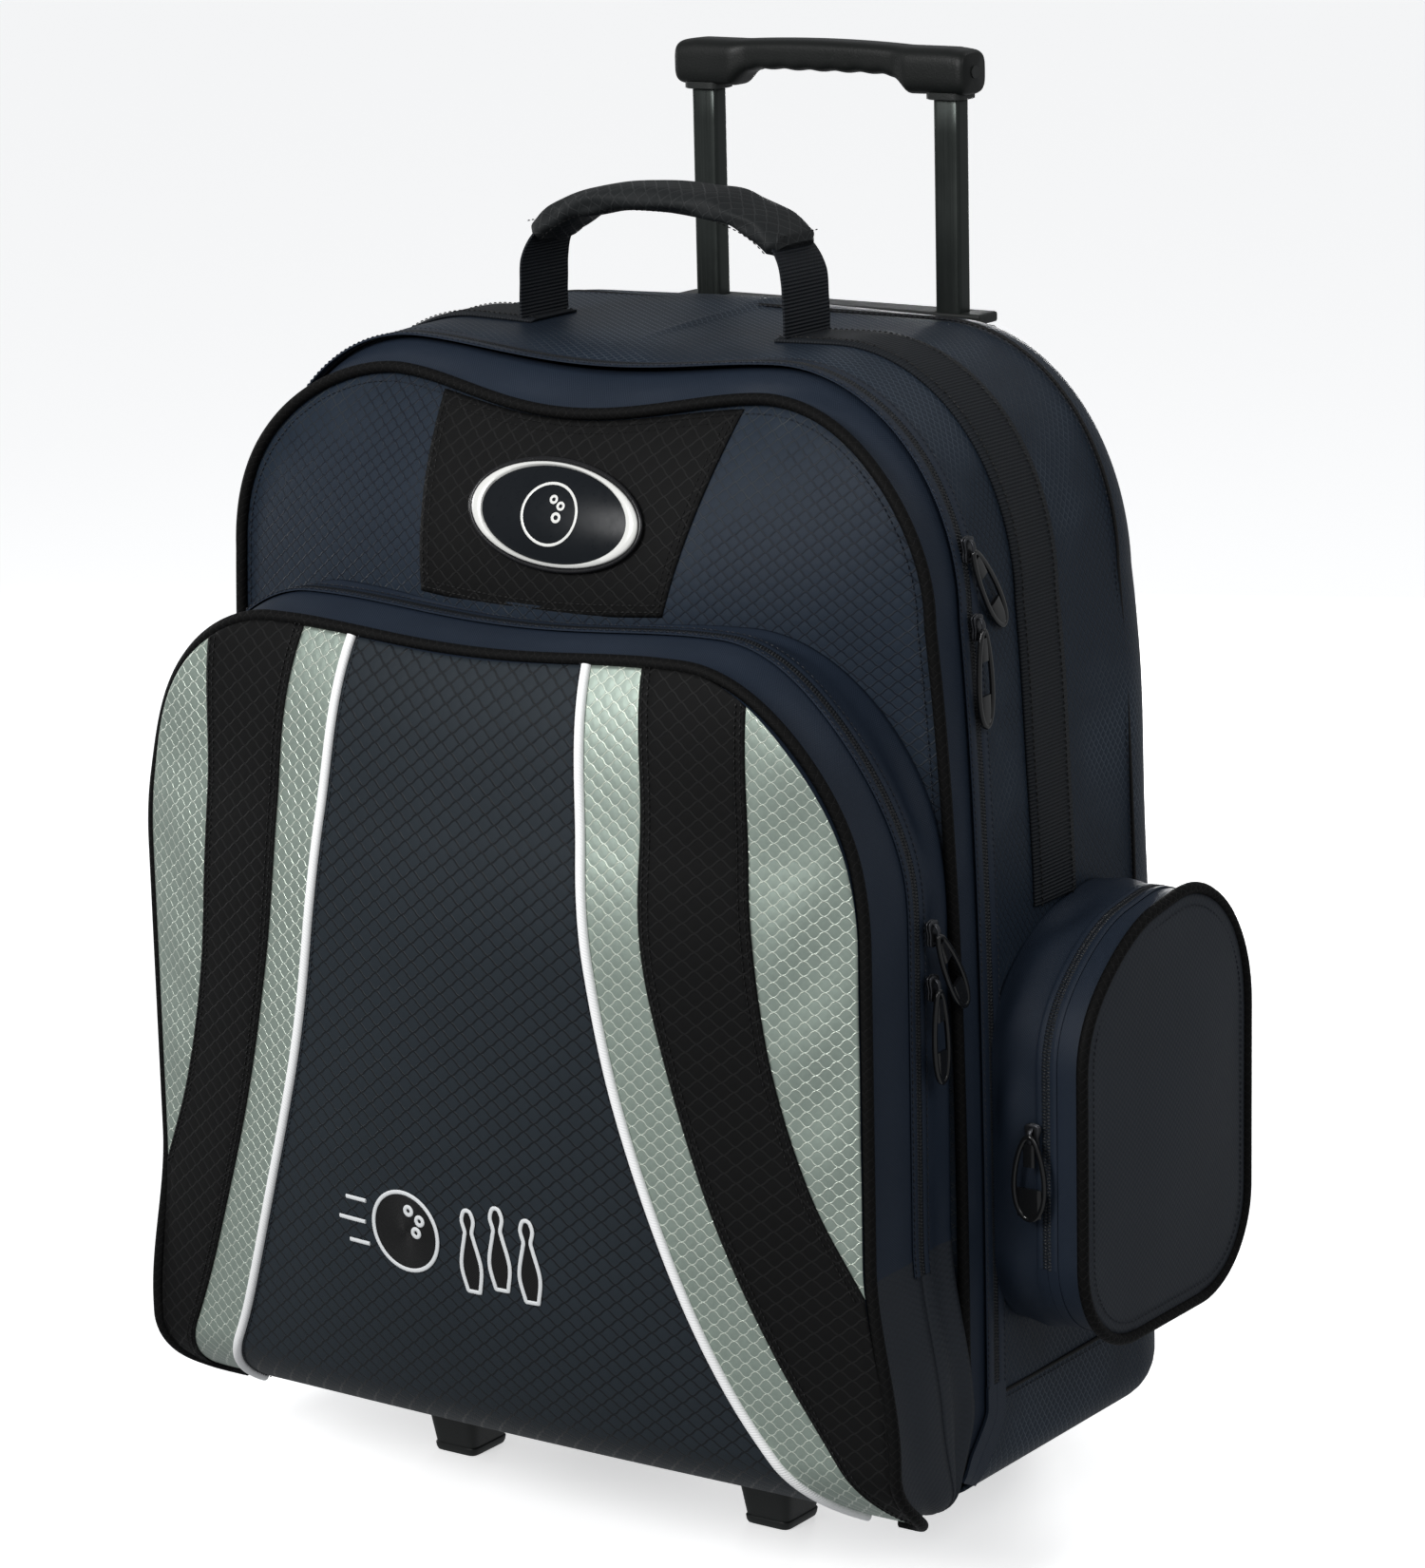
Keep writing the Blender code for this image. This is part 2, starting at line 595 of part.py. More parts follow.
def make_flap(maker):
    """Front door of the main compartment with its welt piping and sewn-on patch."""
    origin = (0.0, HINGE_Y, LIP_Z)
    low = LIP_Z + 0.0005
    middle = 0.33
    scales = (0.94, 0.84, 0.70, 0.52, 0.34, 0.17)
    outer = []
    inner = []
    for rings, shrink, step in ((outer, 0.0036, 0.0), (inner, 0.0036 + SHEET, SHEET)):
        rim = body_outline(ZIP_Y, shrink, low)
        edge = body_outline(0.0, shrink, low)
        rings.append(ring_from(rim, zip_line(rim[:, 1])))
        rings.append(ring_from(edge, flap_surface(edge[:, 0], edge[:, 1]) + step))
        for scale in scales:
            part = scaled(edge, middle, scale)
            rings.append(ring_from(part, flap_surface(part[:, 0], part[:, 1]) + step))
    depth = float(flap_surface(np.array(0.0), np.array(middle)))
    maker.place("flap_panel", cup(outer, inner, (0.0, depth, middle), (0.0, depth + SHEET, middle)),
                (NAVY, 0.7), origin)
    edge = body_outline(0.0, 0.0, low)
    path = ring_from(edge, outer[1][:, 1] - 0.0016)
    maker.place("main_piping", tube_curve(path - np.array(origin), PIPING_R, True), (BLACK, 0.7), origin)
    make_patch(maker, origin)
    make_badge(maker, origin)


def make_patch(maker, origin):
    """Black trapezoid sewn to the flap below its top edge, leaning a little to the right."""
    columns = np.linspace(-1.0, 1.0, 11)
    rings = []
    for t in np.linspace(0.0, 1.0, 7):
        z_mid = 0.5035 + t * (0.588 - 0.5035)
        half = 0.076 + t * 0.0165
        x = columns * half + 0.0035 + 0.0070 * t
        z = np.full_like(x, z_mid)
        face = flap_surface(x, z)
        front = np.stack([x, face - 0.0026, z], axis=1)
        back = np.stack([x, face - 0.0012, z], axis=1)
        rings.append(np.concatenate([front, back[::-1]]))
    maker.place("front_patch", loft(rings, "flat", "flat", smooth=False), (BLACK, 0.7), origin)


def ellipse_disc(half_x, half_z, back, front, crown):
    """Oval plate that follows the flap: back and front are its offsets from the flap."""
    turn = np.radians(np.arange(0.0, 360.0, 12.0))
    rings = []
    for offset, rise, scales in ((back, 0.0, (0.35, 0.7, 1.0)), (front, crown, (1.0, 0.9, 0.7, 0.35))):
        for scale in scales:
            x = BADGE_X + half_x * scale * np.cos(turn)
            z = BADGE_Z + half_z * scale * np.sin(turn)
            y = flap_surface(x, z) - offset - rise * (1.0 - scale ** 2)
            rings.append(np.stack([x, y, z], axis=1))
    centre = float(flap_surface(np.array(BADGE_X), np.array(BADGE_Z)))
    return loft(rings, (BADGE_X, centre - back, BADGE_Z), (BADGE_X, centre - front - crown, BADGE_Z))


def make_badge(maker, origin):
    """Oval plastic badge: a rim plate and a glossy dome on it."""
    maker.place("badge_plate", ellipse_disc(0.055, 0.0265, 0.0032, 0.0056, 0.0),
                ((0.8, 0.8, 0.78), 0.3), origin)
    maker.place("badge_dome", ellipse_disc(0.045, 0.0215, 0.0062, 0.0070, 0.0018),
                ((0.01, 0.012, 0.02), 0.1), origin)


# ---- front pocket ------------------------------------------------------------------------
def make_front_pocket(maker):
    """Rear half of the pocket's side wall, which is sewn to the flap."""
    outer = pocket_outline(0.0020, 0.009)
    inner = pocket_outline(0.0020 + SHEET, 0.009)
    rings = []
    for points in (outer, inner):
        x, z = points[:, 0], points[:, 1]
        rear = np.minimum(flap_surface(x, z) - 0.0012, flap_edge(z) - 0.0120)
        pair = [ring_from(points, rear), ring_from(points, pocket_zip_line(z) + 0.0004)]
        rings += pair if points is outer else pair[::-1]
    maker.place("front_pocket_gusset", loft(rings, wrap=True), (NAVY, 0.7), (0.0, HINGE_Y, LIP_Z))


def make_front_lid(maker):
    """Unzipping front of the pocket: the front half of its side wall, its face and its piping."""
    origin = (0.0, -0.0314, 0.0415)
    middle = 0.27
    scales = (0.95, 0.86, 0.73, 0.57, 0.38, 0.19)
    outer = []
    inner = []
    for rings, shrink, step in ((outer, 0.0036, 0.0), (inner, 0.0036 + SHEET, SHEET)):
        rim = pocket_outline(shrink, 0.008)
        edge = pocket_outline(shrink)
        rings.append(ring_from(rim, pocket_zip_line(rim[:, 1]) - 0.0006))
        rings.append(ring_from(edge, pocket_surface(edge[:, 0], edge[:, 1]) + step))
        for scale in scales:
            part = scaled(edge, middle, scale)
            rings.append(ring_from(part, pocket_surface(part[:, 0], part[:, 1]) + step))
    depth = float(pocket_surface(np.array(0.0), np.array(middle)))
    maker.place("front_pocket_face", cup(outer, inner, (0.0, depth, middle), (0.0, depth + SHEET, middle)),
                (CHARCOAL, 0.7), origin)
    edge = pocket_outline()
    path = ring_from(edge, pocket_edge(edge[:, 1]) - 0.0008)
    start = 5
    path = path[start:len(path) - start + 1]
    maker.place("front_pocket_piping", tube_curve(path - np.array(origin), PIPING_R, False),
                (BLACK, 0.7), origin)


# ---- side pocket -------------------------------------------------------------------------
def make_side_pocket(maker):
    """Pocket on the right wall: a fixed side wall, and a zipped front half with its face."""
    outer = side_outline()
    inner = side_outline(SHEET)
    rings = []
    for points in (outer, inner):
        y, z = points[:, 0], points[:, 1]
        base = np.stack([side_wall_x(y, z) + 0.0010, y, z], axis=1)
        rim = np.stack([np.full_like(y, SIDE_ZIP_X), y, z], axis=1)
        rings += [base, rim] if points is outer else [rim, base]
    maker.place("side_pocket_gusset", loft(rings, wrap=True), (NAVY, 0.7))
    origin = (SIDE_ZIP_X + 0.001, SIDE_Y, SIDE_LOW)
    middle = (SIDE_LOW + SIDE_HIGH) / 2.0
    height = (SIDE_HIGH - SIDE_LOW) / 2.0
    lid_outer = []
    lid_inner = []
    for rings, shrink, step in ((lid_outer, 0.0, 0.0), (lid_inner, SHEET, SHEET)):
        points = side_outline(shrink)
        y, z = points[:, 0], points[:, 1]
        rings.append(np.stack([np.full_like(y, SIDE_ZIP_X + 0.001), y, z], axis=1))
        for scale in (1.0, 0.9, 0.7, 0.45, 0.2):
            part_y = SIDE_Y + (y - SIDE_Y) * scale
            part_z = middle + (z - middle) * scale
            crown = (1.0 - ((part_y - SIDE_Y) / SIDE_HALF) ** 2) * (1.0 - ((part_z - middle) / height) ** 2)
            x = SIDE_EDGE_X - step + 0.0065 * np.clip(crown, 0.0, 1.0)
            rings.append(np.stack([x, part_y, part_z], axis=1))
    tip = SIDE_EDGE_X + 0.0065
    maker.place("side_pocket_face", cup(lid_outer, lid_inner, (tip, SIDE_Y, middle), (tip - SHEET, SIDE_Y, middle)),
                (CHARCOAL, 0.7), origin)
    points = side_outline(-0.0035)
    path = np.stack([np.full(len(points), SIDE_EDGE_X - 0.0005), points[:, 0], points[:, 1]], axis=1)
    maker.place("side_pocket_piping", tube_curve(path - np.array(origin), PIPING_R, True),
                (BLACK, 0.7), origin)


# ---- zips --------------------------------------------------------------------------------
def make_slider(maker, name, place, facing, length, lean=0.0):
    """Zip slider and its oval pull, which hangs down on the slider's face.

    facing is 'x' on the bag's right side or 'y' on the front of the side pocket. lean turns
    the pull towards the bag's back, so that it passes beside the slider below it.
    """
    x, y, z = place
    metal = ((0.10, 0.10, 0.11), 0.35, 1.0)
    pull_z = z - 0.001
    turn = np.radians(np.arange(0.0, 360.0, 30.0))
    down = length / 2.0 * (1.0 - np.cos(turn))
    across = 0.0062 * np.sin(turn)
    run = pull_z - down * math.cos(lean) + across * math.sin(lean)
    sideways = down * math.sin(lean) + across * math.cos(lean)
    if facing == "x":
        body = box_mesh((x + 0.0016, y - 0.0045, z - 0.007), (x + 0.0056, y + 0.0045, z + 0.007), bevel=0.0012)
        hinge = (x + 0.0076, y, pull_z)
        path = np.stack([np.full_like(turn, x + 0.0076), y + sideways, run], axis=1)
    else:
        body = box_mesh((x - 0.0045, y - 0.0056, z - 0.007), (x + 0.0045, y - 0.0016, z + 0.007), bevel=0.0012)
        hinge = (x, y - 0.0076, pull_z)
        path = np.stack([x + sideways, np.full_like(turn, y - 0.0076), run], axis=1)
    maker.place(name + "_slider", body, metal, place)
    maker.place(name + "_pull", tube_curve(path - np.array(hinge), 0.0015, True),
                ((0.01, 0.01, 0.01), 0.25), hinge)


def make_zips(maker):
    """Two sliders on the main zip, two on the front pocket's and one on the side pocket's."""
    zip_y = ZIP_Y + 0.0030
    for name, z, lean in (("main_zip_upper", 0.533, 0.60), ("main_zip_lower", 0.494, 0.05)):
        ring = body_outline(zip_y)
        right = ring[(ring[:, 0] > 0.15) & (ring[:, 1] < 0.60)]
        order = np.argsort(right[:, 1])
        x = float(np.interp(z, right[order, 1], right[order, 0]))
        make_slider(maker, name, (x + 0.0010, zip_y, z), "x", 0.050, lean)
    for name, z, lean in (("front_zip_upper", 0.350, 0.55), ("front_zip_lower", 0.322, 0.05)):
        y = float(pocket_zip_line(np.array(z))) + 0.0060
        make_slider(maker, name, (POCKET_HALF, y, z), "x", 0.048, lean)
    make_slider(maker, "side_zip", (SIDE_ZIP_X - 0.0060, SIDE_Y - SIDE_HALF, 0.236), "y", 0.040)


def main():
    clear_scene()
    maker = Maker()
    make_shell(maker)
    make_base(maker)
    make_feet(maker)
    make_wheels(maker)
    make_straps(maker)
    make_trolley_guide(maker)
    make_trolley_handle(maker)
    make_carry_handle(maker)
    make_flap(maker)
    make_front_pocket(maker)
    make_front_lid(maker)
    make_side_pocket(maker)
    make_zips(maker)


main()
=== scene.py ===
"""Looks of a wheeled two-ball bowling bag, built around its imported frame.

The bag's own frame has x = 0 on its plane of symmetry, y = 0 at the front edge of the main
compartment and z = 0 on the floor. Every surface is worked out there in metres and then moved
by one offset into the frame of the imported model.
"""

import math

import bmesh
import bpy
import numpy as np
from bpy.props import FloatProperty, FloatVectorProperty, PointerProperty
from bpy.types import Operator, Panel, PropertyGroup
from mathutils import Matrix, Vector


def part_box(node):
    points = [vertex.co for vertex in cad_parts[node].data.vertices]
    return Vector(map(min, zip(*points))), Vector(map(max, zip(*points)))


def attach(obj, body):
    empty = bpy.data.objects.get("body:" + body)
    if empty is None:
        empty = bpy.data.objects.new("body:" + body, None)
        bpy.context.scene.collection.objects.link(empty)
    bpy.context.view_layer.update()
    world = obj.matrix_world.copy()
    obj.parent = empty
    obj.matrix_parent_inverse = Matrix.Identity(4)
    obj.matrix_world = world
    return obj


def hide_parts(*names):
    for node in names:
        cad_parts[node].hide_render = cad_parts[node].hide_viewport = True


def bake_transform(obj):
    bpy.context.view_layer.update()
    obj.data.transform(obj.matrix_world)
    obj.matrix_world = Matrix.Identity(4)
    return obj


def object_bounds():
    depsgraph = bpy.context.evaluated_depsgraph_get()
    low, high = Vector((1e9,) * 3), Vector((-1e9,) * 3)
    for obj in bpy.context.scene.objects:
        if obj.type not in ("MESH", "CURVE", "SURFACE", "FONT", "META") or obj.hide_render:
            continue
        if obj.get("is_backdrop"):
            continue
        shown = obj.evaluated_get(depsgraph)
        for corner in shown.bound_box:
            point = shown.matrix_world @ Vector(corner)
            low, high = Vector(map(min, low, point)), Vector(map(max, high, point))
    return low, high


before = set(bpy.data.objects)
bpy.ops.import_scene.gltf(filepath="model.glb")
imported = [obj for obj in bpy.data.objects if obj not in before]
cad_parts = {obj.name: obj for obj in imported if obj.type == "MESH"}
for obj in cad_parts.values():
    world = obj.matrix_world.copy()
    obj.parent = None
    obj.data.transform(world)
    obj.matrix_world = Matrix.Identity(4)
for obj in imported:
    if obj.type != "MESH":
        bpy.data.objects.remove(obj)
cad_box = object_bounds()

bl_info = {
    "name": "Wheeled bowling bag",
    "version": (1, 0, 0),
    "blender": (4, 5, 0),
    "location": "3D View > Sidebar > Bowling bag",
    "description": "Fabric, hardware and studio of a wheeled two-ball bowling bag",
    "category": "Object",
}

# ---- sizes shared with the frame ---------------------------------------------------------
SHELL_LOW, SHELL_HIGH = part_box("main_shell")
BASE_Z = SHELL_LOW.z
BODY_DEPTH = 0.226
OFFSET = np.array([(SHELL_LOW.x + SHELL_HIGH.x) / 2.0, SHELL_HIGH.y - BODY_DEPTH, 0.0])
HALF_WIDTH = 0.233
SIDE_TAPER = 0.0115
SHOULDER_Z = 0.500
SHOULDER_R = 0.105
FRONT_TOP_Z = 0.605
TOP_RISE = 0.017
REAR_START = 0.166
ZIP_Y = 0.0165
HINGE_Y = -0.0085
LIP_Z = 0.0443
POCKET_HALF = 0.229
POCKET_TOP = 0.4875
BULGE = 0.047
POCKET_INSET = 0.0036
SIDE_Y = 0.100
SIDE_HALF = 0.082
SIDE_LOW = 0.122
SIDE_HIGH = 0.344
SIDE_MID = (SIDE_LOW + SIDE_HIGH) / 2.0
SIDE_ZIP_X = 0.266
SIDE_EDGE_X = 0.2885
SIDE_CROWN = 0.0065
STRAP_Y = (0.063, 0.105)
STRAP_END_X = 0.088
PIVOT_Y = 0.084
PIVOT_Z = 0.6455
ARCH_HALF = 0.084
ARCH_RISE = 0.0445
TUBE_X = 0.079
TUBE_Y = 0.2346
WHEEL_X = 0.104
BADGE_X = 0.0108
BADGE_Z = 0.5405
SEAM_Z = 0.091
LOW_PANEL_Z = 0.180
FRONT_ZIP_Z = 0.172
MOTIF_RISE = 0.040
TURN = 2.0 * math.pi
DEEP = (0.0, 1.0, 0.0)
SIDES = ((-1, "left"), (1, "right"))
BODY, FLAP, LID, SIDE_LID = "bag_body", "main_flap", "front_pocket_lid", "side_pocket_lid"


# ---- sizes and colours a user may change -------------------------------------------------
def length(name, about, default):
    return FloatProperty(name=name, description=about, default=default, min=0.0, unit="LENGTH", precision=5)


def colour(name, about, *default):
    return FloatVectorProperty(name=name, description=about, default=default, subtype="COLOR",
                               min=0.0, max=1.0)


class BagSizes(PropertyGroup):
    diamond_width: length("Diamond width", "Width of one diamond of the ripstop lattice", 0.0122)
    diamond_height: length("Diamond height", "Height of one diamond of the ripstop lattice", 0.0094)
    piping: length("Piping radius", "Radius of the covered welt piping", 0.0031)
    cord: length("White piping radius", "Radius of the thin white piping", 0.0025)
    stitch: length("Stitch pitch", "Distance from one stitch to the next", 0.0034)
    coil: length("Zip pitch", "Distance from one coil of a zip to the next", 0.0018)
    wall: length("Cloth thickness", "Thickness of the lined cloth", 0.0024)
    pucker: length("Pucker", "How far the cloth stands in or out in its puckers", 0.0011)


class BagColours(PropertyGroup):
    navy: colour("Navy", "Ripstop of the main compartment", 0.0128, 0.0200, 0.0315)
    charcoal: colour("Charcoal", "Middle panel of the front pocket", 0.0165, 0.0220, 0.0275)
    silver: colour("Silver", "Silver-green side panels", 0.3050, 0.3650, 0.3200)
    black: colour("Black", "Bands, patch and piping", 0.0056, 0.0056, 0.0057)
    slate: colour("Slate", "Face of the side pocket", 0.0190, 0.0225, 0.0285)
    gusset: colour("Gusset", "Smooth cloth beside the zips", 0.0120, 0.0185, 0.0310)
    cord: colour("White", "Thin piping and the ring of the badge", 1.0, 1.0, 1.0)
    plastic: colour("Plastic", "Grip, feet and wheel housings", 0.0110, 0.0125, 0.0118)


# ---- shader expressions ------------------------------------------------------------------
class Wire:
    """A value in a shader. Arithmetic on it adds Math nodes."""

    def __init__(self, finish, socket):
        self.finish = finish
        self.socket = socket

    def math(self, operation, *others):
        return self.finish.node("ShaderNodeMath", {"operation": operation}, self, *others)

    def __add__(self, other):
        return self.math("ADD", other)

    def __sub__(self, other):
        return self.math("SUBTRACT", other)

    def __mul__(self, other):
        return self.math("MULTIPLY", other)

    def __truediv__(self, other):
        return self.math("DIVIDE", other)

    def __rsub__(self, other):
        return self.finish.node("ShaderNodeMath", {"operation": "SUBTRACT"}, other, self)

    __radd__ = __add__
    __rmul__ = __mul__

    def wave(self, turns=1.0):
        """Sine of so many turns of the value."""
        return (self * (TURN * turns)).math("SINE")

    def to_line(self):
        """Distance to the nearest whole number."""
        return 0.5 - (self.math("FRACT") - 0.5).math("ABSOLUTE")

    def step(self, low, high):
        """Zero below low, one above high, smooth between."""
        return self.finish.node("ShaderNodeMapRange", {"interpolation_type": "SMOOTHSTEP"},
                                self, low, high, 0.0, 1.0)


class Finish:
    """A procedural material: a Principled shader and the nodes that vary it."""

    def __init__(self, name, base, roughness, metallic=0.0, sheen=0.0, coat=0.0, specular=0.5):
        self.material = bpy.data.materials.new(name)
        self.material.use_nodes = True
        self.tree = self.material.node_tree
        self.shader = self.tree.nodes["Principled BSDF"]
        values = {"Base Color": (*base, 1.0), "Roughness": roughness, "Metallic": metallic,
                  "Sheen Weight": sheen, "Coat Weight": coat, "Specular IOR Level": specular,
                  "Sheen Roughness": 0.4, "Coat Roughness": 0.12}
        for key, value in values.items():
            self.shader.inputs[key].default_value = value
        self.material.diffuse_color = (*base, 1.0)

    def node(self, kind, settings, *values, out=0, **named):
        """Add a node, set its settings, then feed its sockets by place or by name."""
        node = self.tree.nodes.new(kind)
        for key, value in settings.items():
            setattr(node, key, value)
        for key, value in [*enumerate(values), *named.items()]:
            socket = node.inputs[key.replace("_", " ") if isinstance(key, str) else key]
            if isinstance(value, Wire):
                self.tree.links.new(value.socket, socket)
            elif value is not None:
                socket.default_value = value
        return Wire(self, node.outputs[out])

    def feed(self, key, value):
        self.tree.links.new(value.socket, self.shader.inputs[key])

    def where(self, uv=True):
        """The three coordinates, in metres, of the cloth's own map or of the object."""
        place = self.node("ShaderNodeTexCoord", {}, out=2 if uv else 3)
        parts = self.node("ShaderNodeSeparateXYZ", {}, place)
        return place, [Wire(self, parts.socket.node.outputs[i]) for i in range(3)]

    def noise(self, place, scale, detail=3.0, rough=0.55):
        return self.node("ShaderNodeTexNoise", {}, place, None, scale, detail, rough)

    def mix(self, share, first, second):
        """Blend two colours, each a colour or a wire."""
        first, second = ((*c, 1.0) if isinstance(c, tuple) else c for c in (first, second))
        node = self.tree.nodes.new("ShaderNodeMix")
        node.data_type = "RGBA"
        for slot, value in ((0, share), (6, first), (7, second)):
            if isinstance(value, Wire):
                self.tree.links.new(value.socket, node.inputs[slot])
            else:
                node.inputs[slot].default_value = value
        return Wire(self, node.outputs[2])

    def bump(self, height, distance):
        """Height from 0 to 1 stands for so many metres."""
        self.feed("Normal", self.node("ShaderNodeBump", {}, Strength=1.0, Distance=distance,
                                      Height=height))


def shade(base, times):
    """A colour made lighter or darker."""
    return tuple(min(1.0, c * times) for c in base)


def ripstop(name, base, lines, sizes, gloss=0.56, small=1.0, dust=1.25, yarns=(0.030, 0.095), waver=-0.030,
            light=None, shine=0.15, metal=0.0):
    """Coated ripstop: a lattice of heavier yarns in diamonds over a fine plain weave.

    The two families of yarns are the whole-number lines of u / width + v / height and
    u / width - v / height. Each yarn stands up, has its own colour and a smoother face.
    In broad random patches the yarns take the lighter colour light, a painted sheen.
    """
    finish = Finish(name, base, gloss, metal, specular=shine)
    _, (u, v, _w) = finish.where()
    across = u / (sizes.diamond_width * small)
    up = v / (sizes.diamond_height * small)
    first = across + up
    second = across - up
    rise = (first + second.wave() * waver).to_line()
    fall = (second + first.wave() * waver).to_line()
    near = rise.math("MINIMUM", fall)
    yarn = 1.0 - near.step(*yarns)
    pillow = (rise * fall * 4.0).math("POWER", 0.5)
    place, _ = finish.where(uv=False)
    broad = finish.noise(place, 9.0, 4.0)
    fine = finish.noise(place, 420.0, 2.0, 0.7)
    thread = u.wave(1.0 / 0.0011) * v.wave(1.0 / 0.0011)
    ground = finish.mix(broad, shade(base, 0.82), shade(base, dust))
    ground = finish.mix((fine - 0.35) * 0.5, ground, shade(base, 1.5))
    # Painted sheen: in broad random patches the yarns change from lines to the lighter colour light.
    yarn_painted_sheen = finish.mix((broad - 0.42).step(0.0, 0.20), lines, light or lines)
    finish.feed("Base Color", finish.mix(yarn * 0.85, ground, yarn_painted_sheen))
    finish.feed("Roughness", gloss + 0.06 * thread - 0.16 * yarn + (broad - 0.5) * 0.1)
    finish.bump(yarn * 0.55 + pillow * 0.42 + thread * 0.05 + fine * 0.12, 0.00042)
    return finish.material


def plain_weave(name, base, gloss=0.62, pitch=0.0013, depth=0.00016):
    """Fine plain weave: threads of both directions cross at a small pitch."""
    finish = Finish(name, base, gloss, specular=0.22)
    _, (u, v, _w) = finish.where()
    thread = u.wave(1.0 / pitch) * v.wave(1.0 / pitch)
    where, _ = finish.where(uv=False)
    broad = finish.noise(where, 14.0, 4.0)
    slub = finish.noise(where, 260.0, 3.0)
    cloth = finish.mix(broad, shade(base, 0.78), shade(base, 1.3))
    finish.feed("Base Color", finish.mix(thread * 0.2 + slub * 0.3, cloth, shade(base, 1.7)))
    finish.feed("Roughness", gloss + thread * 0.07 + (slub - 0.5) * 0.12)
    finish.bump(thread * 0.4 + slub * 0.6 + broad, depth)
    return finish.material


def twisted(name, base, gloss=0.45, pitch=0.0009, dark=0.72):
    """Sewing thread or braided cord: fine turns across its length."""
    finish = Finish(name, base, gloss, specular=0.3)
    _, (u, v, _w) = finish.where()
    turn = (v + u * 0.6).wave(1.0 / pitch)
    where, _ = finish.where(uv=False)
    dust = finish.noise(where, 60.0, 3.0)
    finish.feed("Base Color", finish.mix(turn * 0.18 + dust * 0.25, base, shade(base, dark)))
    finish.feed("Roughness", gloss + turn * 0.08 + dust * 0.1)
    finish.bump(turn * 0.5 + dust * 0.4, 0.00012)
    return finish.material


def webbing(name, base, pitch=0.0024):
    """Ribbed webbing: heavy weft ribs across, fine warp threads along."""
    finish = Finish(name, base, 0.5, specular=0.22)
    _, (u, v, _w) = finish.where()
    rib = v.wave(1.0 / pitch)
    warp = u.wave(1.0 / 0.0014)
    where, _ = finish.where(uv=False)
    dust = finish.noise(where, 30.0, 4.0)
    height = rib * 0.5 + 0.5 + warp * rib * 0.12
    # Colour follows the rib height: painted shade in the valleys between ribs, painted highlight on their
    # tops; dust adds random tone.
    finish.feed("Base Color", finish.mix(height * 0.5 + dust * 0.35, shade(base, 0.55), shade(base, 1.8)))
    finish.feed("Roughness", 0.5 + dust * 0.2 - rib * 0.06)
    finish.bump(height + dust * 0.2, 0.00045)
    return finish.material


def grained(name, base, gloss=0.42, scale=900.0, depth=0.00010, metallic=0.0, coat=0.0, wear=1.5, shine=0.35):
    """Moulded or cast surface: fine spark-eroded grain, broad gloss changes and faint handling marks."""
    finish = Finish(name, base, gloss, metallic, coat=coat, specular=shine)
    where, _ = finish.where(uv=False)
    grain = finish.noise(where, scale, 2.0, 0.6)
    broad = finish.noise(where, 22.0, 5.0, 0.6)
    marks = finish.noise(where, 160.0, 6.0, 0.75).step(0.56, 0.70)
    finish.feed("Base Color", finish.mix(broad * 0.5 + marks * 0.3, base, shade(base, wear)))
    finish.feed("Roughness", gloss + (grain - 0.5) * 0.18 + (broad - 0.5) * 0.22 + marks * 0.08)
    finish.bump(grain + marks * 0.2, depth)
    return finish.material


def brushed(name, base, gloss=0.34, metallic=0.85):
    """Drawn metal tube: long fine lines along z, with patches worn by rubbing."""
    finish = Finish(name, base, gloss, metallic)
    _, (x, y, z) = finish.where(uv=False)
    stretched = finish.node("ShaderNodeCombineXYZ", {}, x * 900.0, y * 900.0, z * 9.0)
    lines = finish.noise(stretched, 1.0, 3.0)
    where, _ = finish.where(uv=False)
    rub = finish.noise(where, 35.0, 5.0, 0.65)
    finish.feed("Base Color", finish.mix(lines * 0.4 + rub * 0.4, base, shade(base, 1.9)))
    finish.feed("Roughness", gloss + (lines - 0.5) * 0.25 + (rub - 0.5) * 0.2)
    finish.bump(lines, 0.00005)
    return finish.material


def foam(name, base):
    """Cut foam: open cells of two sizes."""
    finish = Finish(name, base, 0.95, sheen=0.2)
    where, _ = finish.where(uv=False)
    cells = finish.node("ShaderNodeTexVoronoi", {}, where, None, 700.0)
    pores = finish.noise(where, 240.0, 4.0)
    # Colour follows the relief: painted shade in the hollows of the cells and pores, lighter on their walls.
    finish.feed("Base Color", finish.mix(cells * 0.8 + pores * 0.4, shade(base, 0.5), shade(base, 1.5)))
    finish.bump(cells + pores, 0.0004)
    return finish.material


FINISHES = {}


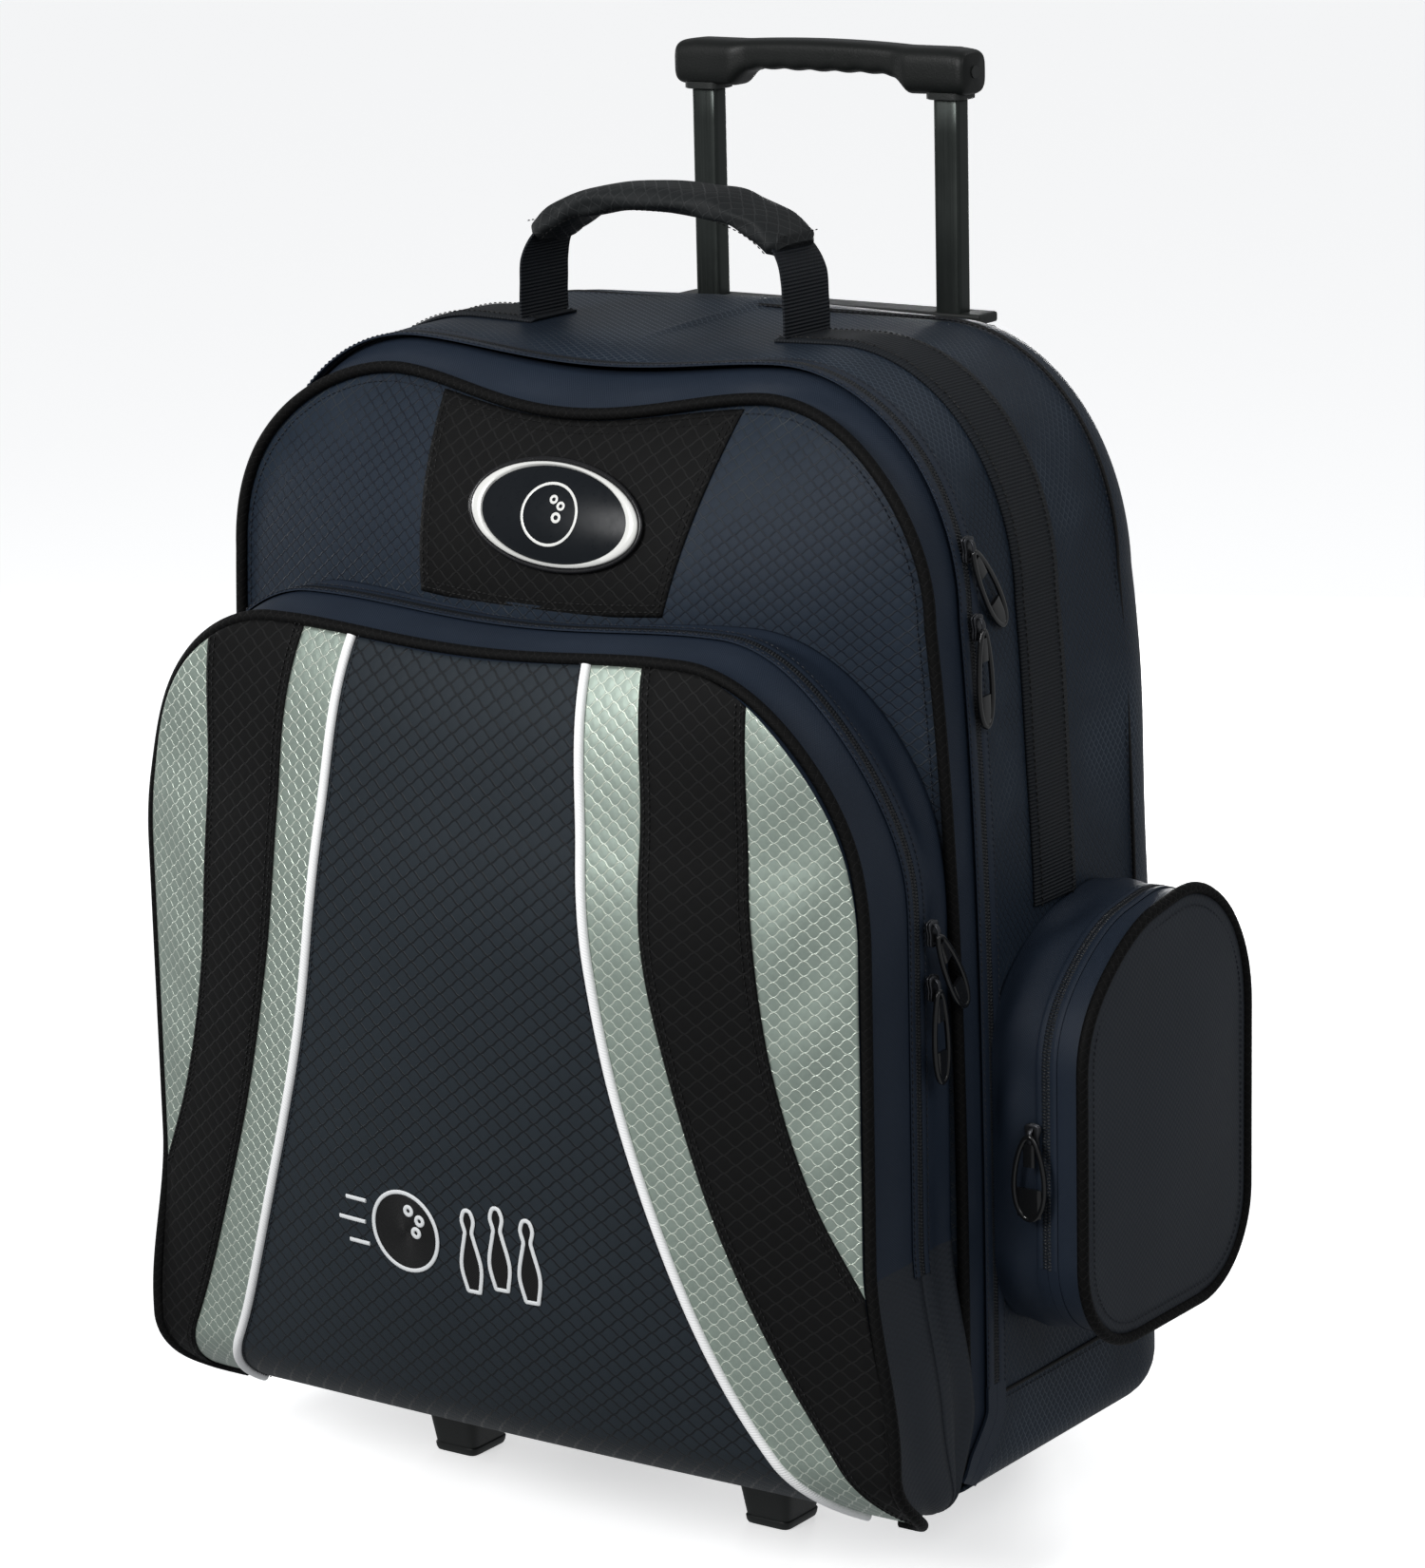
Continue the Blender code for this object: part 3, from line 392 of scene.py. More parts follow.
def make_finishes(sizes, tints):
    """Every material of the bag, by a maker's name."""
    navy, charcoal, silver = tuple(tints.navy), tuple(tints.charcoal), tuple(tints.silver)
    black, slate, gusset = tuple(tints.black), tuple(tints.slate), tuple(tints.gusset)
    white, plastic = tuple(tints.cord), tuple(tints.plastic)
    FINISHES.update({
        # light is the yarns' lighter colour in random patches, a painted sheen; brightest on the walls.
        "navy": ripstop("navy_ripstop", navy, (0.0075, 0.0095, 0.0150), sizes, small=0.76,
                        light=(0.034, 0.041, 0.048)),
        "wall": ripstop("wall_ripstop", shade(navy, 1.05), (0.0085, 0.0115, 0.0175), sizes, 0.5, 0.50,
                        light=(0.062, 0.080, 0.106)),
        "charcoal": ripstop("charcoal_ripstop", charcoal, (0.0070, 0.0080, 0.0095), sizes),
        "silver": ripstop("silver_ripstop", silver, (0.74, 0.80, 0.70), sizes, 0.44, 0.82, dust=1.12,
                          yarns=(0.014, 0.075), waver=-0.055, shine=0.3, metal=0.55),
        "handle": ripstop("handle_ripstop", (0.0135, 0.0150, 0.0158), (0.0260, 0.0280, 0.0290), sizes, 0.58,
                          0.8),
        "black": ripstop("black_ripstop", black, (0.0125, 0.0125, 0.0125), sizes, 0.66, shine=0.08),
        "welt": ripstop("welt_ripstop", shade(black, 0.45), (0.0070, 0.0068, 0.0068), sizes, 0.66, 0.55,
                        shine=0.10),
        "slate": plain_weave("slate_weave", slate, 0.6, 0.0034, 0.00022),
        "gusset": plain_weave("gusset_weave", gusset, 0.5, 0.0013),
        "lining": plain_weave("lining_weave", (0.030, 0.031, 0.034), 0.6),
        "coil": twisted("zip_coil_nylon", (0.0130, 0.0150, 0.0180), 0.3, 0.0009),
        "thread": twisted("black_thread", shade(black, 0.8)),
        "dark_thread": twisted("navy_thread", (0.010, 0.013, 0.020)),
        "cord": twisted("white_piping_vinyl", white, 0.35, 0.0016, 0.93),
        "webbing": webbing("ribbed_webbing", (0.0080, 0.0100, 0.0130), 0.0019),
        "binding": plain_weave("edge_binding", shade(black, 1.1), 0.6, 0.0016, 0.00025),
        "plastic": grained("moulded_plastic", plastic),
        "grip": grained("grip_plastic", shade(plastic, 0.6), shine=0.22),
        "rubber": grained("wheel_rubber", (0.018, 0.018, 0.018), 0.7, 500.0, 0.0002),
        "hub": grained("wheel_plastic", (0.16, 0.165, 0.17), 0.4),
        "gloss": grained("glossy_pull_plastic", (0.006, 0.0062, 0.0066), 0.16, 500.0, 0.00004, coat=0.4),
        "gunmetal": grained("gunmetal_zip", (0.060, 0.062, 0.068), 0.3, 700.0, 0.00005, 0.9),
        "steel": grained("plated_steel", (0.48, 0.48, 0.49), 0.26, 700.0, 0.00004, 1.0),
        "tube": brushed("black_anodised_tube", (0.028, 0.032, 0.030)),
        "guide": brushed("guide_tube", (0.30, 0.30, 0.31), 0.35, 1.0),
        "board": grained("fibre_board", (0.020, 0.019, 0.018), 0.7, 300.0, 0.0003),
        "foam": foam("charcoal_foam", (0.040, 0.041, 0.044)),
        "rim": grained("badge_rim_plastic", (0.006, 0.006, 0.007), 0.25, 600.0, 0.00005),
        "ring": grained("badge_white_enamel", (0.80, 0.80, 0.77), 0.25, 600.0, 0.00004, coat=0.5, wear=0.93),
        "dome": grained("badge_dome_resin", (0.0065, 0.0080, 0.0100), 0.30, 300.0, 0.00001, shine=0.12),
        "motif": twisted("motif_thread", (0.80, 0.82, 0.83), 0.5, 0.0008),
        "motif_black": twisted("motif_black_thread", (0.0030, 0.0030, 0.0032), 0.5, 0.0008),
    })


# ---- arrays of points --------------------------------------------------------------------
def ease(value):
    """Zero below 0, one above 1, smooth between."""
    t = np.clip(value, 0.0, 1.0)
    return t * t * (3.0 - 2.0 * t)


def span(count, start=0.0):
    """Even numbers from the start to one."""
    return np.linspace(start, 1.0, count)


def round_turn(count):
    """Even angles once round, without the last."""
    return np.linspace(0.0, TURN, count, endpoint=False)


def parabola(value):
    """One less the square of a value, and nothing beyond -1 and 1."""
    return np.clip(1.0 - value ** 2, 0.0, 1.0)


def quarter_round(value):
    """Height of a quarter circle at a distance in from its foot, one beyond the first unit."""
    return np.sqrt(np.clip(1.0 - (1.0 - np.clip(value, 0.0, 1.0)) ** 2, 0.0, 1.0))


def unit(vectors):
    """Vectors of length one."""
    return vectors / np.maximum(np.linalg.norm(vectors, axis=-1, keepdims=True), 1e-12)


def stack(*values):
    """Points from coordinates that broadcast together."""
    return np.stack(np.broadcast_arrays(*[np.asarray(v, float) for v in values]), axis=-1)


def at_depth(flat, depth):
    """Points of a flat path, (x, z), set at a depth."""
    return stack(flat[:, 0], depth, flat[:, 1])


def change(points, loop=False):
    """Difference along the first axis, centred."""
    if loop:
        return np.roll(points, -1, axis=0) - np.roll(points, 1, axis=0)
    return np.gradient(points, axis=0)


def even(path, step=None, count=None, loop=False):
    """The same path with evenly spaced points; columns past the third are carried along."""
    path = np.concatenate([path, path[:1]]) if loop else path
    run = np.concatenate([[0.0], np.cumsum(np.linalg.norm(np.diff(path[:, :3], axis=0), axis=1))])
    count = count or max(int(round(run[-1] / step)), 4)
    at = np.linspace(0.0, run[-1], count + loop)[:count]
    return np.stack([np.interp(at, run, column) for column in path.T], axis=1)


def even_flat(path, step=None, count=None, loop=False):
    """The same for a path of flat points."""
    return even(np.pad(path, ((0, 0), (0, 1))), step, count, loop)[:, :2]


def spline(points, count):
    """Catmull-Rom curve through the points."""
    p = np.asarray(points, float)
    p = np.vstack([2.0 * p[0] - p[1], p, 2.0 * p[-1] - p[-2]])
    t = np.linspace(0.0, len(p) - 3, count)
    i = np.minimum(t.astype(int), len(p) - 4)
    f = (t - i)[:, None]
    a, b, c, d = p[i], p[i + 1], p[i + 2], p[i + 3]
    return 0.5 * (2.0 * b + (c - a) * f + (2.0 * a - 5.0 * b + 4.0 * c - d) * f ** 2
                  + (3.0 * b - a - 3.0 * c + d) * f ** 3)


def circle(radius, count=12, squash=1.0):
    """Points of a circle, flattened by squash."""
    turn = round_turn(count)
    return np.stack([radius * np.cos(turn), radius * squash * np.sin(turn)], axis=1)


def rounded(half_a, half_b, power=4.0, count=28):
    """Superellipse |a / half_a|^p + |b / half_b|^p = 1, once round."""
    turn = round_turn(count) + 0.5 * TURN / count
    c, s = np.cos(turn), np.sin(turn)
    k = 2.0 / power
    return np.stack([half_a * np.sign(c) * np.abs(c) ** k, half_b * np.sign(s) * np.abs(s) ** k], axis=1)


def sweep(path, profile, side, loop=False):
    """Carry a profile of (across, out) along a path. Across keeps to side; out is path x side."""
    along = unit(change(path, loop))
    out = unit(np.cross(along, np.broadcast_to(side, path.shape)))
    across = np.cross(out, along)
    profile = np.broadcast_to(profile, (len(path),) + profile.shape[-2:])
    return path[:, None] + across[:, None] * profile[..., :1] + out[:, None] * profile[..., 1:]


def ripples(u, v, seed, count=7, low=18.0, high=70.0):
    """Sum of sine waves of fixed but irregular directions, about -1 to 1. u and v in metres."""
    random = np.random.default_rng(seed)
    total = 0.0
    for _ in range(count):
        pitch = random.uniform(low, high)
        lean = random.uniform(0.0, TURN)
        total = total + np.sin(pitch * (u * math.cos(lean) + v * math.sin(lean)) + random.uniform(0.0, TURN))
    return total / math.sqrt(count)


def hump(t, flat):
    """Zero over the first share of the way and at its end, a smooth rise and fall between."""
    return np.sin(math.pi * np.clip((t - flat) / (1.0 - flat), 0.0, 1.0)) ** 2


class Skin:
    """Grids of points gathered into one mesh, with a UV map in metres."""

    def __init__(self):
        self.points = []
        self.faces = []
        self.count = 0

    def _add(self, points, faces, uv, part):
        """Take in points, and their faces with a map and a finish."""
        self.points.append(points.reshape(-1, 3))
        for face, corners in zip(faces, uv):
            self.faces.append((face.reshape(-1, face.shape[-1]) + self.count, corners.reshape(-1, 2), part))
        self.count += points.reshape(-1, 3).shape[0]
        return self

    def grid(self, points, uv=None, around=False, loop=False, part=0, caps=(False, False)):
        """Rows x columns of points.

        around joins the last column to the first, loop the last row to the first. caps closes the first or
        last row with a fan to its middle.
        """
        rows, cols = points.shape[:2]
        if uv is None:
            uv = self._lengths(points, around, loop)
        i = np.arange(rows if loop else rows - 1)[:, None]
        j = np.arange(cols if around else cols - 1)[None, :]
        i, j = np.broadcast_arrays(i, j)
        ahead, over = (i + 1) % rows, (j + 1) % cols
        faces = [np.stack([i * cols + j, i * cols + over, ahead * cols + over, ahead * cols + j], -1)]
        corners = [np.stack([uv[i, j], uv[i, j + 1], uv[i + 1, j + 1], uv[i + 1, j]], -2)]
        flat = [points.reshape(-1, 3)]
        for row, wanted in ((0, caps[0]), (rows - 1, caps[1])):
            if wanted:
                j = np.arange(cols if around else cols - 1)
                pole = np.full_like(j, sum(len(p) for p in flat))
                flat.append(points[row].mean(0)[None])
                ring = [row * cols + j, row * cols + (j + 1) % cols]
                middle = np.broadcast_to(uv[row].mean(0), (len(j), 2))
                order = ring[::-1] if row == 0 else ring
                edge = [uv[row, j], uv[row, j + 1]]
                edge = edge[::-1] if row == 0 else edge
                faces.append(np.stack([*order, pole], -1))
                corners.append(np.stack([*edge, middle], -2))
        return self._add(np.concatenate(flat), faces, corners, part)

    def face(self, points, axis=0, part=0):
        """Closed rings drawn in to a middle; the map is the height and one level axis, in metres."""
        closed = np.concatenate([points, points[:, :1]], axis=1)
        return self.grid(points, closed[..., [axis, 2]], around=True, part=part, caps=(False, True))

    def solid(self, points):
        """Rows of closed rings, with both ends closed."""
        return self.grid(points, around=True, caps=(True, True))

    def tube(self, path, profile, side, loop=False):
        """A profile carried along a path; its ends are closed unless the path is a loop."""
        return self.grid(sweep(path, profile, side, loop), around=True, loop=loop, caps=(not loop, not loop))

    def many(self, points):
        """Copies x rows x columns x 3: small closed shapes, each row a ring, each end one face."""
        copies, rows, cols = points.shape[:3]
        first = np.arange(copies)[:, None, None] * rows * cols
        i = np.arange(rows - 1)[None, :, None] * cols
        j = np.arange(cols)[None, None, :]
        over = (j + 1) % cols
        base = first + i
        quads = np.stack(np.broadcast_arrays(base + j, base + over, base + cols + over, base + cols + j), -1)
        ends = first[:, 0] + np.arange(cols)[None, :]
        faces = [quads.reshape(-1, 4), ends[:, ::-1], ends + (rows - 1) * cols]
        flat = points.reshape(-1, 3)
        uv = [flat[f][..., [0, 2]] for f in faces]
        return self._add(flat, faces, uv, 0)

    @staticmethod
    def _lengths(points, around, loop):
        """Distance along each row and each column, averaged over the others."""
        p = np.concatenate([points, points[:, :1]], 1) if around else points
        p = np.concatenate([p, p[:1]], 0) if loop else p
        u = np.linalg.norm(np.diff(p, axis=1), axis=-1).mean(0)
        v = np.linalg.norm(np.diff(p, axis=0), axis=-1).mean(1)
        u = np.concatenate([[0.0], np.cumsum(u)])
        v = np.concatenate([[0.0], np.cumsum(v)])
        return stack(u[None, :], v[:, None])

    def mesh(self, name):
        """One mesh of all the grids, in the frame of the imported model."""
        data = bpy.data.meshes.new(name)
        points = np.concatenate(self.points) + OFFSET
        data.vertices.add(len(points))
        data.vertices.foreach_set("co", points.astype(np.float32).ravel())
        loops = np.concatenate([f.ravel() for f, _, _ in self.faces])
        sizes = np.concatenate([np.full(len(f), f.shape[1]) for f, _, _ in self.faces])
        parts = np.concatenate([np.full(len(f), part) for f, _, part in self.faces])
        corners = np.concatenate([c.reshape(-1) for _, c, _ in self.faces])
        data.loops.add(len(loops))
        data.loops.foreach_set("vertex_index", loops.astype(np.int32))
        data.polygons.add(len(sizes))
        data.polygons.foreach_set("loop_start", np.concatenate([[0], np.cumsum(sizes)[:-1]]).astype(np.int32))
        data.polygons.foreach_set("material_index", parts.astype(np.int32))
        layer = data.uv_layers.new(name="UVMap")
        layer.data.foreach_set("uv", corners.astype(np.float32))
        data.update(calc_edges=True)
        return data


def piece(name, skin, finishes, body, slot, stands_for=(), core=None, thick=0.0, sharp=50.0, lining=0,
          cuts=None):
    """Weld a skin, turn its faces outwards, give it its wall and its finishes, and let it ride on a body.

    core is a point on the inner side of an open sheet, in the bag's frame. lining is how many finishes
    further on the inner side takes. cuts is a function on the welded mesh.
    """
    data = skin.mesh(name)
    shape = bmesh.new()
    shape.from_mesh(data)
    bmesh.ops.remove_doubles(shape, verts=shape.verts, dist=0.00001)
    bmesh.ops.recalc_face_normals(shape, faces=shape.faces)
    if core is not None:
        middle = Vector(np.asarray(core) + OFFSET)
        share = sum(f.calc_area() * f.normal.dot(f.calc_center_median() - middle) for f in shape.faces)
        if share < 0.0:
            bmesh.ops.reverse_faces(shape, faces=shape.faces)
    if cuts:
        cuts(shape)
    shape.to_mesh(data)
    shape.free()
    data.shade_smooth()
    data.set_sharp_from_angle(angle=math.radians(sharp))
    obj = bpy.data.objects.new(name, data)
    bpy.context.scene.collection.objects.link(obj)
    for finish in finishes:
        data.materials.append(FINISHES[finish])
    if thick:
        wall = obj.modifiers.new("wall", "SOLIDIFY")
        wall.thickness = thick
        wall.offset = -1.0
        wall.use_even_offset = True
        wall.material_offset = lining
    if body:
        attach(obj, body)
    if stands_for:
        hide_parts(*stands_for)
    return obj


def stitches(skin, path, out, pitch, loop=False):
    """One small spindle for each stitch along a path, lying on the side that out points to."""
    line = even(np.hstack([path, np.broadcast_to(out, path.shape)]), pitch, loop=loop)
    here = line[:, :3]
    up = unit(line[:, 3:])
    along = unit(change(here, loop))
    side = np.cross(along, up)
    share, radius = 0.70, 0.00036
    t = span(5)
    turn = round_turn(5)
    girth = radius * np.sqrt(np.clip(4.0 * t * (1.0 - t), 0.06, 1.0))
    rise = radius * 0.8 * np.sin(math.pi * t)
    centre = (here[:, None] + along[:, None] * ((t - 0.5) * pitch * share)[None, :, None]
              + up[:, None] * rise[None, :, None])
    ring = (side[:, None, None] * (girth[:, None] * np.cos(turn))[None, :, :, None]
            + up[:, None, None] * (girth[:, None] * np.sin(turn))[None, :, :, None])
    skin.many(centre[:, :, None] + ring)


# ---- outlines and surfaces of the bag ----------------------------------------------------
def half_outline(side, low, high, low_r, top_rx, top_rz, shrink=0.0):
    """Right half of a front-view outline, (x, z) from the middle of the bottom to the middle of the top.

    Flat bottom, a round lower corner, a side that follows side(height), an elliptic shoulder and a flat top.
    """
    low = low + shrink
    high = high - shrink
    low_r = low_r - min(shrink, low_r * 0.5)
    top_rx = top_rx - shrink
    top_rz = top_rz - shrink
    z_low = low + low_r
    z_top = high - top_rz
    x_low = float(side(z_low)) - shrink
    x_top = float(side(z_top)) - shrink
    bend = np.linspace(0.0, math.pi / 2.0, 40)
    heights = np.linspace(z_low, z_top, 90)[1:-1]
    return np.concatenate([
        stack(np.linspace(0.0, x_low - low_r, 60)[:-1], low),
        stack(x_low - low_r + low_r * np.sin(bend), z_low - low_r * np.cos(bend)),
        stack(side(heights) - shrink, heights),
        stack(x_top - top_rx + top_rx * np.cos(bend), z_top + top_rz * np.sin(bend)),
        stack(np.linspace(x_top - top_rx, 0.0, 60)[1:], high)])


def upright(half):
    """A side that keeps its distance from the middle at every height."""
    return lambda z: np.full_like(np.asarray(z, float), half)


def body_side(z):
    """Half width of the main compartment; it draws in by the fourth power of the height."""
    return HALF_WIDTH - SIDE_TAPER * (np.clip(z, 0.0, SHOULDER_Z) / SHOULDER_Z) ** 4


def pocket_side(z):
    """Half width of the front pocket, a little wider towards its foot."""
    return POCKET_HALF + 0.013 * ease((0.19 - np.asarray(z)) / 0.10)


def sag_top(points, sag, reach, from_z):
    """Let the top edge of an outline hang a little in its middle."""
    out = points.copy()
    drop = sag * parabola(points[:, 0] / reach) ** 2
    out[:, 1] -= np.where(points[:, 1] > from_z, drop, 0.0)
    return out


def body_half(y, shrink=0.0, low=BASE_Z):
    """Half outline of the main compartment at depth y, before its rear edges turn in."""
    high = FRONT_TOP_Z + TOP_RISE * (1.0 - math.exp(-max(y, 0.0) / 0.012))
    points = half_outline(body_side, low, high, 0.020, SHOULDER_R, SHOULDER_R + high - FRONT_TOP_Z, shrink)
    return sag_top(points, 0.014 * math.exp(-max(y, 0.0) / 0.035), 0.12, 0.55)


def pocket_half(shrink=0.0, lift=0.0):
    """Half outline of the front pocket."""
    points = half_outline(pocket_side, BASE_Z, POCKET_TOP + lift, 0.020, 0.100, 0.135 + lift, shrink)
    return sag_top(points, 0.006, 0.12, 0.45)


def full_ring(half, count):
    """Closed ring of evenly spaced points from a right half outline."""
    right = even(half, count=count // 2 + 1)
    return np.concatenate([right, right[-2:0:-1] * (-1.0, 1.0)])


def zip_line(z):
    """Depth of the main zip; at the bottom it runs forward to the hinge lip."""
    return HINGE_Y - 0.001 + (ZIP_Y - HINGE_Y + 0.001) * ease((z - 0.046) / 0.040)


def flap_edge(z):
    """Depth of the flap's edge; it comes forward to the hinge at the bottom."""
    return -0.016 * (1.0 - ease((z - 0.046) / 0.050))


def flap_surface(x, z):
    """Depth of the flap's outer face, which bellies forward below its top edge."""
    across = parabola(x / 0.236) ** 0.7
    down = 1.0 - (1.0 - np.clip((0.603 - z) / 0.113, 0.0, 1.0)) ** 2
    up = ease((z - 0.045) / 0.080)
    return flap_edge(z) - BULGE * across * down * up


def pocket_zip_line(z):
    """Depth of the front pocket's zip, further forward at the top and back at the foot."""
    return -0.041 - 0.019 * ease((z - 0.37) / 0.11) + 0.011 * ease((0.10 - z) / 0.06)


def pocket_edge(z):
    """Depth of the piped edge of the front pocket; its lower end rolls under the bag."""
    roll = np.clip((0.084 - z) / 0.045, 0.0, 1.0) ** 2
    return -0.087 - 0.011 * ease((z - 0.39) / 0.09) + 0.045 * roll


def pocket_surface(x, z):
    """Depth of the front pocket's face."""
    across = parabola(x / 0.235)
    top = 1.0 - np.clip((z - 0.33) / 0.157, 0.0, 1.0) ** 2
    bottom = 1.0 - np.clip((0.25 - z) / 0.211, 0.0, 1.0) ** 3
    slack = 0.0009 * ripples(x, z, 5, 6, 12.0, 34.0) * across * top * bottom
    return pocket_edge(z) - BULGE * across * top * bottom - slack


def face_normal(surface, x, z):
    """Outward normal of a face given as a depth over x and z."""
    d = 0.0005
    slope_x = (surface(x + d, z) - surface(x - d, z)) / (2.0 * d)
    slope_z = (surface(x, z + d) - surface(x, z - d)) / (2.0 * d)
    return unit(stack(slope_x, -1.0, slope_z))


def on_face(surface, points, lift=0.0):
    """Points (x, z) laid on a face, lifted off it along its normal."""
    x, z = points[..., 0], points[..., 1]
    return stack(x, surface(x, z), z) + face_normal(surface, x, z) * lift


def side_wall_x(y, z):
    """Outer face of the right wall."""
    turn = np.arcsin(np.clip((y - REAR_START) / (BODY_DEPTH - REAR_START), 0.0, 1.0))
    share = (z - BASE_Z) / (FRONT_TOP_Z - BASE_Z)
    return body_side(z) * (1.0 - (1.0 - np.cos(turn)) * (0.055 + 0.030 * share) / HALF_WIDTH)


def side_ring(count, shrink=0.0):
    """Outline of the side pocket as (y, z)."""
    half = half_outline(upright(SIDE_HALF), SIDE_LOW, SIDE_HIGH, 0.048, 0.070, 0.075, shrink)
    ring = full_ring(half, count)
    ring[:, 1] -= 0.012 * ease((ring[:, 1] - 0.265) / 0.080) * ease((0.040 - ring[:, 0]) / 0.110)
    return ring + (SIDE_Y, 0.0)


def shell_rows(depths, count):
    """Rings of the main compartment's wall from its front edge to where the back begins."""
    rows = []
    for depth in depths:
        ring = full_ring(body_half(depth), count)
        front = zip_line(ring[:, 1] + 0.012) + 0.001
        back_off = 1.0 - np.clip((depth - 0.0175) / 0.06, 0.0, 1.0)
        rows.append(stack(ring[:, 0], depth + (front - 0.0175) * back_off ** 2, ring[:, 1]))
    return np.array(rows)


def shell_slack(points):
    """How far the slack wall stands out at each point: broad irregular ripples, none at the sewn edges."""
    x, y, z = np.moveaxis(points, -1, 0)
    round_way = z + np.sign(x) * 0.6 + x * 0.5
    wave = ripples(round_way, y, 11, 8, 14.0, 55.0)
    return wave * ease((y - 0.03) / 0.03) * ease((z - 0.06) / 0.06)


def grid_normals(points):
    """Outward normals of a ring grid whose columns run round and rows run back."""
    along = np.roll(points, -1, 1) - np.roll(points, 1, 1)
    return unit(np.cross(np.gradient(points, axis=0), along))


def corners(node):
    """Lowest and highest corner of a part, in the bag's own frame."""
    return [np.array(corner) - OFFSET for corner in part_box(node)]


def strip_between(first, second, rows):
    """Rows of points from the first line to the second."""
    return np.array([first + (second - first) * t for t in span(rows)])


def drawn_in(edge, middle, scales):
    """An edge of flat points and smaller copies of it, one for each scale, drawn in towards a middle."""
    scales = scales[:, None, None]
    return edge * scales + np.asarray(middle) * (1.0 - scales)


def laid_stitches(skin, surface, line, lift, pitch):
    """Stitches along a line of flat points laid on a face."""
    stitches(skin, on_face(surface, line, lift), face_normal(surface, line[:, 0], line[:, 1]), pitch)


def sections(centre, ring, scale, heights):
    """One outline at several heights, each scaled about the centre."""
    return stack(centre[0] + ring[None, :, 0] * scale[:, None], centre[1] + ring[None, :, 1] * scale[:, None],
                 heights[:, None])


# ---- operators ---------------------------------------------------------------------------
class BAG_OT_finishes(Operator):
    """Mix the cloths, plastics and metals of the bag"""
    bl_idname = "bag.finishes"
    bl_label = "Finishes"

    def execute(self, context):
        make_finishes(context.scene.bag_sizes, context.scene.bag_colours)
        for node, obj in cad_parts.items():
            for key, finish in CAD_FINISHES.items():
                if node.startswith(key):
                    obj.data.materials.clear()
                    obj.data.materials.append(FINISHES[finish])
        return {"FINISHED"}


CAD_FINISHES = {
    "base_plate": "board", "back_board": "board", "axle": "steel", "wheel_housing": "plastic",
    "wheel_tyre": "rubber", "wheel_hub": "hub", "wheel_bearing": "steel", "outer_tube": "guide",
    "tube_foot": "plastic", "tube_collar": "plastic", "lock_plug": "plastic", "grip_screw": "steel",
    "inner_tube": "tube", "front_foot": "plastic", "grip": "plastic",
}


